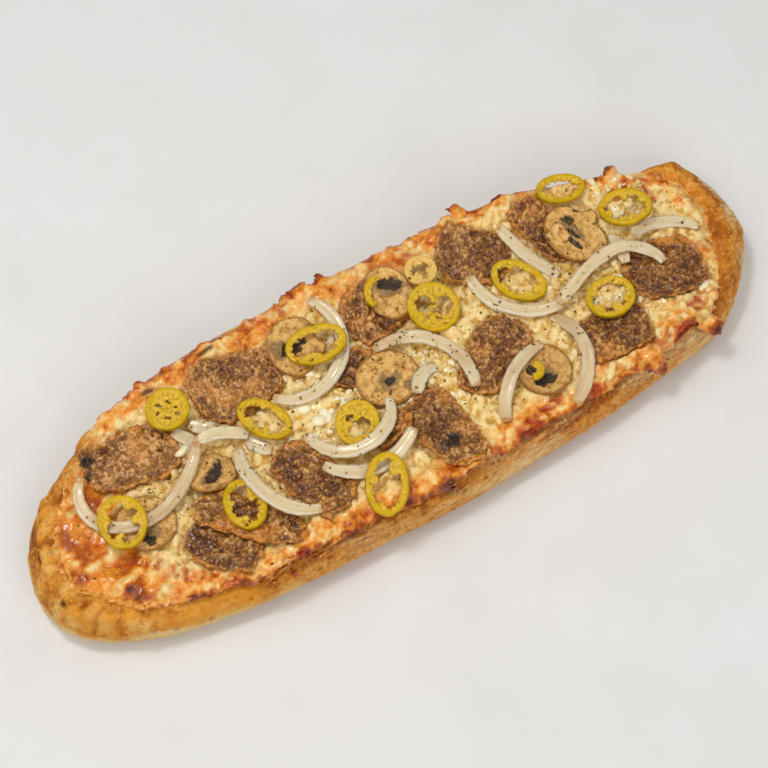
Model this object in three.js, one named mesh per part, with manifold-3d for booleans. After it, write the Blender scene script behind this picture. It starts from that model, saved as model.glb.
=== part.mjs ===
// Kebab pizza roll: a long boat of bread, baked open under tomato sauce and melted cheese, and
// strewn with kebab slices, mushroom slices, onion strips and rings of mild green pepper.
// Millimetres, +Z up. X runs along the roll, and its flat underside rests on Z = 0.
import * as THREE from "three";
import { mergeVertices } from "three/addons/utils/BufferGeometryUtils.js";
import Module from "manifold-3d";

// ---- Driving sizes -----------------------------------------------------------------------------
const LENGTH = 329.5;
const WIDTH = 110.5;
const RIM_HEIGHT = 24; // the crust's crest above the underside
const FLOOR_HEIGHT = 19.5; // the baked dough under the topping
const GAP = 0.35; // air left between one piece and the next
const SAUCE_THICK = 1.1;
const CHEESE_THICK = 2.1;
const KEBAB_THICK = 2.4;
const MUSHROOM_THICK = 2.5;
const ONION_THICK = 2.6;
const ONION_WIDTH = 6.2;
const PEPPER_WALL = 3.0;
const PEPPER_TALL = 3.4;

// The bread's outline from above, as shares of half the length and half the width, about its
// middle. Two corners, at the left end's near side and the right end's far side, are where the
// dough was folded over.
const MIDDLE = [-1.25, -1.25];
const OUTLINE = [
  [1.0, -0.07], [0.988, 0.26], [0.945, 0.51], [0.851, 0.53], [0.718, 0.71], [0.493, 0.925],
  [0.129, 1.0], [-0.235, 1.025], [-0.539, 0.97], [-0.769, 0.745], [-0.915, 0.44],
  [-0.988, 0.11], [-1.0, -0.2], [-0.966, -0.46], [-0.8, -0.745], [-0.569, -0.9],
  [-0.175, -0.99], [0.25, -1.0], [0.584, -0.937], [0.809, -0.8], [0.927, -0.54],
  [0.991, -0.25],
];
const STATIONS = 72;
const KEEL = 0.66; // the keel line's share of half the length: insets run towards it

// The crust from the underside out, up over the rim and down to the floor: inset and height.
const CRUST = [
  [8.5, 0], [3, 1.2], [0.6, 4.8], [0, 9.5], [1.1, 16], [3.8, 21], [8, RIM_HEIGHT],
  [12.5, 23], [18, 20.7], [27, FLOOR_HEIGHT],
];
const KNOBS = [
  { x: -154, y: -27, rise: 3.2, reach: 13 },
  { x: 147, y: 21, rise: 3.5, reach: 14 },
  { x: -150, y: 8, rise: 1.2, reach: 18 },
];

// Browned tips of cheese that run over the rim: where each starts and ends, and its thickness.
const CHEESE_TIPS = [
  { from: [-4, 48.5, 24], to: [-5.5, 53.5, 28.5], root: 2.6, tip: 1.1 },
  { from: [-15, 50, 23.5], to: [-15, 54.5, 24.5], root: 4.6, tip: 3.4 },
  { from: [63, 46.5, 23.5], to: [56.5, 53, 27.5], root: 3.0, tip: 1.0 },
  { from: [77, 43.5, 23.5], to: [76.5, 48, 25], root: 3.2, tip: 2.0 },
  { from: [125.5, 30, 24.5], to: [124, 34.5, 27.5], root: 3.0, tip: 1.8 },
  { from: [119.5, -44, 23.5], to: [125.5, -53, 17], root: 4.6, tip: 3.0 },
  { from: [93.5, -48.5, 23.5], to: [95, -57, 16], root: 4.2, tip: 2.6 },
  { from: [-90, 45, 23.5], to: [-89, 49.5, 24.5], root: 4.2, tip: 3.0 },
  { from: [-60, 48, 23.5], to: [-60, 52, 24.5], root: 4.2, tip: 3.0 },
];

// Where the cheese ran down the near side: the middle of each run, and half of its width.
const CHEESE_RUNS = [[-79, 15], [-2, 12], [97, 13], [122, 9]];

// Kebab slices, lowest first: middle, length, width, turn in degrees, and how much narrower one
// end is. Peak lifts one spot of a slice that curled up in the oven.
const KEBABS = [
  { at: [-93, -29], long: 31, wide: 24, turn: -64, taper: 0.1 },
  { at: [-81, -26], long: 43, wide: 17, turn: -46, taper: 0.1 },
  { at: [-108.5, 20.5], long: 38, wide: 23, turn: -4, taper: -0.1,
    peak: { at: [-127, 33], rise: 4, reach: 5, out: 8 } },
  { at: [-57, 28], long: 37, wide: 26, turn: -6, taper: 0.2 },
  { at: [9, 28], long: 33, wide: 25, turn: 14, taper: -0.1 },
  { at: [-13, 9.5], long: 19, wide: 12, turn: 32, taper: 0 },
  { at: [55, 28], long: 31, wide: 25, turn: -42, taper: 0.1 },
  { at: [86, 22.5], long: 33, wide: 16, turn: -78, taper: 0 },
  { at: [38, -15], long: 38, wide: 22, turn: 30, taper: -0.15 },
  { at: [3.5, -32.5], long: 39, wide: 23, turn: -84, taper: 0.12,
    peak: { at: [-7, -34], rise: 2.4, reach: 8, out: 0 } },
  { at: [-14, -21], long: 17, wide: 11, turn: 10, taper: 0 },
  { at: [-51, -23.5], long: 38, wide: 21, turn: -72, taper: 0 },
  { at: [86, -32], long: 30, wide: 23, turn: -6, taper: 0 },
  { at: [119.5, -18], long: 33, wide: 28, turn: -24, taper: 0.1 },
];

// Mushroom slices: middle, half length across the cap, half height, turn, and the form of the cut.
const MUSHROOMS = [
  { at: [-115.6, -5.7], across: 12, up: 12, turn: 160, form: "round" },
  { at: [-84.5, -1], across: 10.4, up: 9, turn: -25, form: "round" },
  { at: [-27.5, 28.5], across: 13, up: 12.5, turn: 60, form: "stemmed" },
  { at: [-3.8, -2.4], across: 13.5, up: 12, turn: 0, form: "round" },
  { at: [15.8, 29], across: 9.8, up: 12, turn: 0, form: "round" },
  { at: [97.5, 14], across: 13.9, up: 13.9, turn: 112, form: "stemmed" },
  { at: [51.5, -32], across: 11, up: 11.8, turn: -12, form: "round" },
];

// Onion strips and pepper rings in the order that they fell. A strip starts at a point, heads in
// a direction and bends by so many degrees a millimetre at its start and at its end. A ring has
// its middle, its outer length and width, and its turn.
const STREWN = [
  { onion: 17, start: [-89, 22], heading: -45, long: 10.6, bend: [-1.5, -0.9] },
  { onion: 18, start: [-81, 22], heading: -61, long: 11.3, bend: [4.2, 3.6] },
  { onion: 16, start: [-65, 5], heading: -63, long: 11.3, bend: [-0.9, 6.6] },
  { onion: 14, start: [109, 5.5], heading: -91, long: 14.8, bend: [-1.5, -1.1] },
  { pepper: 3, at: [-80, -21], long: 24, wide: 17, turn: 75 },
  { onion: 3, start: [-70, 3], heading: -111, long: 48.7, bend: [1.19, 2.77] },
  { onion: 2, start: [-83, 12.5], heading: 11, long: 21.3, bend: [-4.1, -0.6] },
  { onion: 1, start: [-129, 22.5], heading: -143, long: 79, bend: [4.5, 0.25] },
  { pepper: 1, at: [-124, -3], long: 23, wide: 19.5, turn: 80 },
  { pepper: 2, at: [-86, 30.5], long: 20.5, wide: 18, turn: 60 },
  { pepper: 4, at: [-55, 7.5], long: 23.5, wide: 16.5, turn: -58 },
  { onion: 4, start: [-13.5, 43.5], heading: -52, long: 66.9, bend: [-2.76, -2.24] },
  { pepper: 5, at: [-21.5, 24], long: 26, wide: 17, turn: -14 },
  { pepper: 6, at: [-24.5, -13], long: 20.5, wide: 18, turn: 70 },
  { onion: 5, start: [-44, -6.5], heading: -88, long: 52.2, bend: [3.18, 3.13] },
  { onion: 6, start: [-45.5, -22], heading: -58, long: 43, bend: [2.6, 1.78] },
  { pepper: 7, at: [-28.5, -42], long: 26, wide: 17.5, turn: 58 },
  { onion: 15, start: [2.5, -14], heading: 48, long: 16.2, bend: [1.3, -11.6] },
  { pepper: 14, at: [13.5, 29.5], long: 17, wide: 15.5, turn: 0, arc: [84, 214] },
  { pepper: 9, at: [32, 31], long: 15, wide: 13.5, turn: 30 },
  { pepper: 8, at: [28, 14.5], long: 22, wide: 20, turn: -20 },
  { onion: 7, start: [-2, 10.5], heading: 11, long: 53.5, bend: [-2.46, -2.28] },
  { onion: 10, start: [70.5, 31.5], heading: -85, long: 31.6, bend: [1.15, 0.35] },
  { pepper: 10, at: [64.5, 7.5], long: 24.5, wide: 17, turn: -55 },
  { onion: 11, start: [67.5, -12], heading: -55, long: 46.9, bend: [-2.67, -1.64] },
  { onion: 8, start: [48, 19], heading: -94, long: 44.4, bend: [2.14, 1.9] },
  { onion: 9, start: [71.5, -11], heading: 20, long: 58.1, bend: [0.83, -4.73] },
  { pepper: 11, at: [92, -18.5], long: 21.5, wide: 20, turn: 30 },
  { onion: 12, start: [56.5, -22], heading: -180, long: 39.5, bend: [1.86, 1.64] },
  { pepper: 13, at: [46.5, -31], long: 9.5, wide: 9, turn: 0, arc: [-125, 60] },
  { onion: 13, start: [113.5, -3], heading: 49, long: 34, bend: [-4.8, -1.3] },
  { pepper: 12, at: [102, 34], long: 22, wide: 15.5, turn: -12 },
  { pepper: 15, at: [119.5, 12], long: 22.5, wide: 18, turn: -35 },
];

const COLOURS = {
  bread: 0xc08a52,
  sauce: 0xb5401c,
  cheese: 0xe9cf93,
  kebab: 0x7b5a41,
  mushroom: 0xc9a377,
  onion: 0xe3dcbc,
  pepper: 0xbcb42a,
};

// ---- Small helpers -----------------------------------------------------------------------------
const wasm = await Module();
wasm.setup();

const degrees = THREE.MathUtils.degToRad;
const smooth = THREE.MathUtils.smoothstep;

// Seeded random numbers, so that the roll is the same each time.
function randomFrom(seed) {
  let state = seed;
  return () => {
    state = (state * 1664525 + 1013904223) % 4294967296;
    return state / 4294967296;
  };
}

// A slow uneven wave over the plan, about -1 to 1.
function unevenness(x, y, period, phase) {
  const k = (2 * Math.PI) / period;
  const along = Math.sin(k * (x + 0.45 * y) + phase);
  const across = Math.sin(k * (0.62 * y - 0.7 * x) * 1.27 + 2.1 * phase);
  return (along + across + Math.sin(k * 0.53 * (x - 1.3 * y) + 0.7 * phase)) / 2.4;
}

const outlinePoints = OUTLINE.map(([along, across]) => new THREE.Vector3(
  MIDDLE[0] + (along * LENGTH) / 2, MIDDLE[1] + (across * WIDTH) / 2, 0));
const outlineCurve = new THREE.CatmullRomCurve3(outlinePoints, true, "centripetal");

function outlineStations(count) {
  return outlineCurve.getSpacedPoints(count).slice(0, count);
}

// The point that lies a given inset from the outline, towards the keel.
function insetPoint(edge, inset) {
  const reach = (KEEL * LENGTH) / 2;
  const keel = new THREE.Vector3(THREE.MathUtils.clamp(edge.x, -reach, reach), 0, 0);
  return edge.clone().add(keel.sub(edge).setLength(inset));
}

// Two triangles for each quad between closed loops of the same count, in turn.
function loopFaces(loops, count) {
  const faces = [];
  for (let row = 0; row + 1 < loops; row += 1) {
    for (let i = 0; i < count; i += 1) {
      const next = (i + 1) % count;
      const a = row * count + i;
      const b = row * count + next;
      faces.push([a, b, b + count], [a, b + count, a + count]);
    }
  }
  return faces;
}

// Triangles that close a loop, given its points from above.
function capFaces(points, first, down) {
  const flat = points.map((p) => new THREE.Vector2(p.x, p.y));
  const faces = THREE.ShapeUtils.triangulateShape(flat, []);
  const counterClockwise = THREE.ShapeUtils.area(flat) > 0;
  return faces.map(([a, b, c]) => {
    const [p, q, r] = [a + first, b + first, c + first];
    return counterClockwise === down ? [p, r, q] : [p, q, r];
  });
}

function geometryOf(points, faces) {
  const geometry = new THREE.BufferGeometry();
  geometry.setAttribute("position",
    new THREE.Float32BufferAttribute(points.flatMap((p) => [p.x, p.y, p.z]), 3));
  geometry.setIndex(faces.flat());
  return geometry;
}

// ---- The map of heights, and how pieces settle on it -------------------------------------------
const CELL = 0.75;
const CELLS_X = Math.ceil((LENGTH + 24) / CELL);
const CELLS_Y = Math.ceil((WIDTH + 24) / CELL);
const heights = new Float32Array(CELLS_X * CELLS_Y);
const TOUCH = 0.75 * CELL; // a square this near a triangle counts as under it

// The shares of a triangle's corners in its point nearest to (x, y) from above.
function nearestShares(a, b, c, x, y) {
  const area = (b.x - a.x) * (c.y - a.y) - (c.x - a.x) * (b.y - a.y);
  if (Math.abs(area) > 1e-9) {
    const u = ((b.x - x) * (c.y - y) - (c.x - x) * (b.y - y)) / area;
    const v = ((c.x - x) * (a.y - y) - (a.x - x) * (c.y - y)) / area;
    if (u >= 0 && v >= 0 && u + v <= 1) return [u, v, 1 - u - v, 0];
  }
  let best = [0, 0, 0, Infinity];
  [[a, b, 0, 1], [b, c, 1, 2], [c, a, 2, 0]].forEach(([p, q, i, j]) => {
    const lengthSquared = (q.x - p.x) ** 2 + (q.y - p.y) ** 2 || 1;
    const along = ((x - p.x) * (q.x - p.x) + (y - p.y) * (q.y - p.y)) / lengthSquared;
    const t = THREE.MathUtils.clamp(along, 0, 1);
    const distance = Math.hypot(p.x + t * (q.x - p.x) - x, p.y + t * (q.y - p.y) - y);
    if (distance < best[3]) {
      best = [0, 0, 0, distance];
      best[i] = 1 - t;
      best[j] = t;
    }
  });
  return best;
}

// Calls visit(cell, shares) for each square of the map under a triangle.
function eachCellUnder(a, b, c, visit) {
  const column = (x) => Math.round(x / CELL + CELLS_X / 2);
  const row = (y) => Math.round(y / CELL + CELLS_Y / 2);
  const right = column(Math.max(a.x, b.x, c.x)) + 1;
  const far = row(Math.max(a.y, b.y, c.y)) + 1;
  for (let i = column(Math.min(a.x, b.x, c.x)) - 1; i <= right; i += 1) {
    for (let j = row(Math.min(a.y, b.y, c.y)) - 1; j <= far; j += 1) {
      const x = (i - CELLS_X / 2) * CELL;
      const y = (j - CELLS_Y / 2) * CELL;
      const shares = nearestShares(a, b, c, x, y);
      if (shares[3] <= TOUCH) visit(i + j * CELLS_X, shares);
    }
  }
}

// Which way a triangle faces when its piece lies flat.
function facesUp(a, b, c) {
  return (b.x - a.x) * (c.y - a.y) - (c.x - a.x) * (b.y - a.y) > 0;
}

function coverMap(points, faces) {
  faces.forEach(([i, j, k]) => {
    const [a, b, c] = [points[i], points[j], points[k]];
    if (!facesUp(a, b, c)) return;
    eachCellUnder(a, b, c, (cell, s) => {
      heights[cell] = Math.max(heights[cell], s[0] * a.z + s[1] * b.z + s[2] * c.z);
    });
  });
}

function heightAt(p) {
  const i = Math.round(p.x / CELL + CELLS_X / 2);
  const j = Math.round(p.y / CELL + CELLS_Y / 2);
  return heights[i + j * CELLS_X];
}

// Raises a piece's columns until its underside is clear of all that lies below.
function liftClear(piece, z) {
  let worst = 0;
  piece.under.forEach(({ corners, columns, cells }) => {
    cells.forEach(([cell, s]) => {
      const underside = corners.reduce((sum, p, n) => sum + s[n] * (p.z + z[columns[n]]), 0);
      const short = heights[cell] + GAP - underside;
      if (short <= 0) return;
      worst = Math.max(worst, short);
      const share = short / (s[0] ** 2 + s[1] ** 2 + s[2] ** 2);
      columns.forEach((column, n) => {
        z[column] += share * s[n];
      });
    });
  });
  return worst;
}

// The height at each column of the flat board that fits the piece best.
function boardHeights(places, z) {
  const n = places.length;
  const mean = (pick) => places.reduce((sum, p, i) => sum + pick(p, z[i]), 0) / n;
  const mx = mean((p) => p.x);
  const my = mean((p) => p.y);
  const mz = mean((p, h) => h);
  const xx = mean((p) => (p.x - mx) ** 2) + 1e-6;
  const yy = mean((p) => (p.y - my) ** 2) + 1e-6;
  const xy = mean((p) => (p.x - mx) * (p.y - my));
  const xz = mean((p, h) => (p.x - mx) * (h - mz));
  const yz = mean((p, h) => (p.y - my) * (h - mz));
  const scale = xx * yy - xy * xy + 1e-6;
  const slopeX = (xz * yy - yz * xy) / scale;
  const slopeY = (yz * xx - xz * xy) / scale;
  return places.map((p) => mz + slopeX * (p.x - mx) + slopeY * (p.y - my));
}

// Lets a piece down on what lies there. It is made of upright columns that only move up and
// down: points hold x, y and their height in the column. Stiff is 0 for what bends freely, 1 for
// a board, and taut is how much of its own smoothness it keeps at rest. What bends freely starts
// right on what is below, and all else from above.
function settle(piece, stiff, taut) {
  const { points, faces, columnOf, places, beside } = piece;
  piece.under = faces
    .filter(([i, j, k]) => !facesUp(points[i], points[j], points[k]))
    .map((face) => {
      const corners = face.map((i) => points[i]);
      const cells = [];
      eachCellUnder(...corners, (cell, shares) => cells.push([cell, shares]));
      return { corners, columns: face.map((i) => columnOf[i]), cells };
    });
  let highest = 0;
  piece.under.forEach(({ cells }) => cells.forEach(([cell]) => {
    highest = Math.max(highest, heights[cell]);
  }));
  let z = places.map((p) => (stiff > 0 ? highest : heightAt(p)) + 1);
  for (let drop = stiff > 0 ? 1.6 : 0.3; drop > 0.02; drop *= 0.88) {
    const board = boardHeights(places, z);
    z = z.map((h, i) => {
      const near = beside[i].reduce((sum, j) => sum + z[j], 0) / beside[i].length;
      const eased = h + Math.min(0.35, taut * (1 + 8 * drop)) * (near - h);
      return eased + 0.8 * stiff * (board[i] - eased) - drop;
    });
    liftClear(piece, z);
  }
  for (let turn = 0; turn < 200 && liftClear(piece, z) > 0.002; turn += 1);
  if (piece.peak) {
    const { at, rise, reach } = piece.peak;
    z = z.map((h, i) =>
      h + rise * Math.exp(-((places[i].x - at[0]) ** 2 + (places[i].y - at[1]) ** 2) / reach ** 2));
  }
  const laid = points.map((p, i) => new THREE.Vector3(p.x, p.y, p.z + z[columnOf[i]]));
  coverMap(laid, faces);
  return laid;
}

// ---- Kinds of piece ----------------------------------------------------------------------------
// A flat piece from loops of places that shrink towards its middle. topAt gives a place's
// thickness, and the rim is rounded by a share of it.
function flatPiece(loops, thicknessAt, rounding) {
  const count = loops[0].length;
  const places = loops.flat();
  const inwards = loops.length;
  const points = [];
  const columnOf = [];
  const addLoop = (row, top) => loops[row].forEach((p, i) => {
    const thick = thicknessAt(p, row);
    const trimmed = row === 0 ? rounding * thick : 0;
    points.push(new THREE.Vector3(p.x, p.y, top ? thick - trimmed : trimmed));
    columnOf.push(row * count + i);
  });
  for (let row = inwards - 1; row >= 0; row -= 1) addLoop(row, false);
  for (let row = 0; row < inwards; row += 1) addLoop(row, true);
  const inner = loops[inwards - 1];
  const faces = [
    ...capFaces(inner, 0, true),
    ...loopFaces(2 * inwards, count),
    ...capFaces(inner, (2 * inwards - 1) * count, false),
  ];
  const beside = places.map((p, n) => {
    const row = Math.floor(n / count);
    const i = n % count;
    const ring = [row * count + ((i + 1) % count), row * count + ((i + count - 1) % count)];
    if (row > 0) ring.push(n - count);
    if (row + 1 < inwards) ring.push(n + count);
    else ring.push(row * count + ((i + Math.floor(count / 2)) % count));
    return ring;
  });
  return { points, faces, columnOf, places, beside };
}

// A piece swept along a line of places: section holds each corner's offset to the left and up.
function sweptPiece(line, closed, section) {
  const count = section.length;
  const points = [];
  const columnOf = [];
  line.forEach((place, n) => {
    const before = line[closed ? (n + line.length - 1) % line.length : Math.max(n - 1, 0)];
    const after = line[closed ? (n + 1) % line.length : Math.min(n + 1, line.length - 1)];
    const left = new THREE.Vector2(before.y - after.y, after.x - before.x).normalize();
    const size = place.size ?? 1;
    section.forEach(([across, up]) => {
      points.push(new THREE.Vector3(
        place.x + left.x * across * size, place.y + left.y * across * size, up * (0.5 + size / 2)));
      columnOf.push(n);
    });
  });
  const faces = loopFaces(line.length, count);
  const last = (line.length - 1) * count;
  for (let i = 0; i < count; i += 1) {
    const next = (i + 1) % count;
    if (closed) faces.push([last + i, last + next, next], [last + i, next, i]);
    else if (i > 0 && i + 1 < count) {
      faces.push([0, i + 1, i], [last, last + i, last + i + 1]);
    }
  }
  const beside = line.map((place, n) => {
    const ends = [n - 1, n + 1];
    if (closed) return ends.map((m) => (m + line.length) % line.length);
    return ends.map((m) => THREE.MathUtils.clamp(m, 0, line.length - 1));
  });
  return { points, faces, columnOf, places: line, beside };
}

// Places around a middle, from an outline given as a function of the angle.
function shrunkLoops(at, turn, count, shares, outlineAt) {
  return shares.map((share) => Array.from({ length: count }, (_, i) => {
    const p = outlineAt((2 * Math.PI * i) / count, i);
    return new THREE.Vector2(p.x * share, p.y * share)
      .rotateAround(new THREE.Vector2(), degrees(turn))
      .add(new THREE.Vector2(...at));
  }));
}

// ---- The bread ---------------------------------------------------------------------------------
function breadLoops(grow) {
  const edges = outlineStations(STATIONS);
  return CRUST.map(([inset, height]) => edges.map((edge) => {
    const p = insetPoint(edge, inset + 0.9 * unevenness(edge.x, edge.y, 61, inset) - grow);
    const rise = KNOBS.reduce((sum, knob) =>
      sum + knob.rise * Math.exp(-((p.x - knob.x) ** 2 + (p.y - knob.y) ** 2) / knob.reach ** 2), 0);
    const upper = smooth(height, 10, RIM_HEIGHT - 2);
    p.z = height + upper * (rise + 0.8 * unevenness(edge.x, edge.y, 47, 1)) + grow * Math.sign(height);
    return p;
  }));
}

function breadShape(grow) {
  const loops = breadLoops(grow);
  const faces = [
    ...capFaces(loops[0], 0, true),
    ...loopFaces(loops.length, STATIONS),
    ...capFaces(loops[loops.length - 1], (loops.length - 1) * STATIONS, false),
  ];
  return { points: loops.flat(), faces };
}

// ---- Sauce and cheese --------------------------------------------------------------------------
const SHEET_SHARES = [0, 0.06, 0.16, 0.34, 0.62, 1]; // from the sheet's edge to its inmost loop
const SHEET_INMOST = 44; // inset of that loop
const NEAR_SIDE_BARE = 1.0; // how much more crust shows along the near side
const RUN_INSET_SHARE = 0.3; // of the inset that is left where the cheese ran down

// A sheet whose edge keeps an uneven distance from the outline, more at the two ends and less
// where it ran down the near side.
function sheetPiece(stations, shares, side, ends, phase, thicknessAt) {
  const edges = outlineStations(stations);
  const insets = edges.map((edge) => {
    const atEnd = smooth(Math.abs(edge.x), 0.37 * LENGTH, 0.49 * LENGTH);
    const waves = 1.1 * unevenness(edge.x, edge.y, 33, phase) + 0.8 * unevenness(edge.x, edge.y, 19, phase);
    const inset = side + (edge.y < 0 ? NEAR_SIDE_BARE : 0) + (ends - side) * atEnd + waves * (1 + atEnd);
    const run = CHEESE_RUNS.reduce((most, [x, half]) =>
      Math.max(most, Math.exp(-(((edge.x - x) / half) ** 4))), 0);
    return edge.y < 0 ? inset + run * (side * RUN_INSET_SHARE - inset) : inset;
  });
  const loops = shares.map((share) => edges.map((edge, i) => {
    const p = insetPoint(edge, insets[i] + share * (SHEET_INMOST - insets[i]));
    return new THREE.Vector2(p.x, p.y);
  }));
  return flatPiece(loops, thicknessAt, 0.3);
}

function tomatoSauce() {
  const piece = sheetPiece(54, [0, 0.4, 1], 12, 15, 0.4, () => SAUCE_THICK);
  return { points: settle(piece, 0, 0.01), faces: piece.faces };
}

// A tapered drop of cheese from one point to another, as a closed manifold solid.
function cheeseTip({ from, to, root, tip }) {
  const start = new THREE.Vector3(...from);
  const end = new THREE.Vector3(...to);
  const bow = start.clone().lerp(end, 0.5).add(new THREE.Vector3(0, 0, 1.2));
  const curve = new THREE.QuadraticBezierCurve3(start, bow, end);
  const sides = 6;
  const rows = 4;
  const points = [];
  for (let row = 0; row < rows; row += 1) {
    const share = row / (rows - 1);
    const forward = curve.getTangent(share);
    const sidewards = new THREE.Vector3().crossVectors(forward, new THREE.Vector3(0, 0, 1)).normalize();
    const upwards = new THREE.Vector3().crossVectors(sidewards, forward);
    const blunt = row === rows - 1 ? 0.45 : 1;
    const radius = blunt * THREE.MathUtils.lerp(root, tip, share);
    for (let i = 0; i < sides; i += 1) {
      const angle = (2 * Math.PI * i) / sides;
      points.push(curve.getPoint(share)
        .addScaledVector(sidewards, radius * Math.cos(angle))
        .addScaledVector(upwards, 0.7 * radius * Math.sin(angle)));
    }
  }
  const faces = loopFaces(rows, sides);
  for (let i = 1; i + 1 < sides; i += 1) {
    const last = (rows - 1) * sides;
    faces.push([0, i + 1, i], [last, last + i, last + i + 1]);
  }
  return manifoldOf({ points, faces });
}

function manifoldOf({ points, faces }) {
  const merged = mergeVertices(geometryOf(points, faces), 1e-4);
  const solid = new wasm.Manifold(new wasm.Mesh({
    numProp: 3,
    vertProperties: merged.attributes.position.array,
    triVerts: new Uint32Array(merged.index.array),
  }));
  if (solid.volume() > 0) return solid;
  return manifoldOf({ points, faces: faces.map(([a, b, c]) => [a, c, b]) });
}

function shapeOf(solid) {
  const mesh = solid.getMesh();
  const points = [];
  for (let i = 0; i < mesh.numVert; i += 1) {
    points.push(new THREE.Vector3().fromArray(mesh.vertProperties, i * mesh.numProp));
  }
  const faces = [];
  for (let i = 0; i < mesh.numTri; i += 1) {
    faces.push(Array.from(mesh.triVerts.subarray(3 * i, 3 * i + 3)));
  }
  return { points, faces };
}

// The melted cheese: a lumpy sheet with browned tips fused to it, cut clear of the crust.
function meltedCheese() {
  const thicknessAt = (p, row) => {
    const lumps = unevenness(p.x, p.y, 17, 3) + 0.7 * unevenness(p.x, p.y, 29, 5);
    return CHEESE_THICK * (row === 0 ? 0.75 : 1 + 0.3 * lumps);
  };
  const piece = sheetPiece(STATIONS, SHEET_SHARES, 3.4, 10, 2.2, thicknessAt);
  const sheet = manifoldOf({ points: settle(piece, 0, 0.01), faces: piece.faces });
  const crust = manifoldOf(breadShape(0.8 * GAP));
  const tips = CHEESE_TIPS.map((tip) => cheeseTip(tip).subtract(crust));
  const fused = tips.reduce((solid, tip) => solid.add(tip), sheet).simplify(0.05);
  const largest = fused.decompose().reduce((a, b) => (a.volume() > b.volume() ? a : b));
  const shape = shapeOf(largest);
  coverMap(shape.points, shape.faces);
  return shape;
}

// ---- Toppings ----------------------------------------------------------------------------------
const KEBAB_SIDES = 16;
const RECTANGULAR = 3.4; // power of the outline: 2 is an ellipse, more is squarer

function kebabSlice({ at, long, wide, turn, taper, peak }, number) {
  const random = randomFrom(31 + 17 * number);
  const ragged = Array.from({ length: KEBAB_SIDES }, () => 1 + 0.16 * (random() - 0.5));
  const outlineAt = (angle, i) => {
    const c = Math.cos(angle);
    const s = Math.sin(angle);
    const reach = (Math.abs(c) ** RECTANGULAR + Math.abs(s) ** RECTANGULAR) ** (-1 / RECTANGULAR);
    const x = (long / 2) * reach * c * ragged[i];
    return new THREE.Vector2(x, (wide / 2) * reach * s * ragged[i] * (1 - (2 * taper * x) / long));
  };
  const loops = shrunkLoops(at, turn, KEBAB_SIDES, [1, 0.66, 0.3], outlineAt);
  if (peak) {
    loops[0].forEach((p) => {
      const pull = peak.out * Math.exp(-(p.distanceTo(new THREE.Vector2(...peak.at)) ** 2) / 30);
      p.add(new THREE.Vector2(peak.at[0] - at[0], peak.at[1] - at[1]).setLength(pull));
    });
  }
  const crag = () => KEBAB_THICK * (1 + 0.3 * (random() - 0.5));
  return { ...flatPiece(loops, crag, 0.2), peak };
}

// A mushroom cut through cap and stem: the cap's dome, its turned-in edge and the stem below.
function mushroomOutline(form, across, up) {
  return (angle) => {
    const c = Math.cos(angle);
    const s = Math.sin(angle);
    if (form === "round") return new THREE.Vector2(across * c, up * s * (s < 0 ? 0.94 : 1));
    const stem = Math.exp(-(((angle - 1.5 * Math.PI) / 0.3) ** 2));
    const gills = Math.exp(-(((angle - 1.5 * Math.PI) / 0.85) ** 2));
    const reach = 1 - 0.52 * gills + 0.5 * stem;
    return new THREE.Vector2(across * c * reach, up * s * reach);
  };
}

function mushroomSlice({ at, across, up, turn, form }) {
  const loops = shrunkLoops(at, turn, 22, [1, 0.55], mushroomOutline(form, across, up));
  return flatPiece(loops, () => MUSHROOM_THICK, 0.18);
}

// A strip cut from an onion: its width seen from above, and its ends a little narrower.
function onionStrip({ start, heading, long, bend }) {
  const steps = Math.max(4, Math.round(long / 4.6));
  const fine = 12;
  const line = [];
  const place = new THREE.Vector2(...start);
  let angle = degrees(heading);
  for (let n = 0; n <= steps * fine; n += 1) {
    const share = n / (steps * fine);
    if (n % fine === 0) {
      const size = 0.72 + 0.28 * Math.min(1, 5 * share, 5 * (1 - share));
      line.push(Object.assign(place.clone(), { size }));
    }
    const step = long / (steps * fine);
    place.add(new THREE.Vector2(Math.cos(angle), Math.sin(angle)).multiplyScalar(step));
    angle += degrees(THREE.MathUtils.lerp(bend[0], bend[1], share)) * step;
  }
  const half = ONION_WIDTH / 2;
  const section = [
    [-half, 0.3 * ONION_THICK], [-0.6 * half, 0], [0.6 * half, 0],
    [half, 0.3 * ONION_THICK], [0.62 * half, ONION_THICK], [-0.62 * half, ONION_THICK],
  ];
  return sweptPiece(line, false, section);
}

// A ring, or an arc of one, cut across a pepper.
function pepperRing({ at, long, wide, turn, arc }) {
  const [first, last] = arc ?? [0, 360];
  const steps = arc ? 9 : 18;
  const line = Array.from({ length: arc ? steps + 1 : steps }, (_, n) => {
    const angle = degrees(first + ((last - first) * n) / steps);
    const radius = (size) => (size - PEPPER_WALL) / 2;
    return new THREE.Vector2(radius(long) * Math.cos(angle), radius(wide) * Math.sin(angle))
      .rotateAround(new THREE.Vector2(), degrees(turn))
      .add(new THREE.Vector2(...at));
  });
  const half = PEPPER_WALL / 2;
  const section = [
    [-half, 0.28 * PEPPER_TALL], [0, 0], [half, 0.28 * PEPPER_TALL],
    [half, 0.72 * PEPPER_TALL], [0, PEPPER_TALL], [-half, 0.72 * PEPPER_TALL],
  ];
  return sweptPiece(line, !arc, section);
}

// ---- The roll ----------------------------------------------------------------------------------
const roll = new THREE.Group();
const FINISHES = Object.fromEntries(Object.entries(COLOURS).map(([kind, color]) => {
  const roughness = ["onion", "pepper", "sauce"].includes(kind) ? 0.35 : 0.75;
  return [kind, new THREE.MeshStandardMaterial({ color, roughness, metalness: 0 })];
}));

function addMesh(name, kind, { points, faces }) {
  const mesh = new THREE.Mesh(geometryOf(points, faces), FINISHES[kind]);
  mesh.name = name;
  roll.add(mesh);
}

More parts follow.
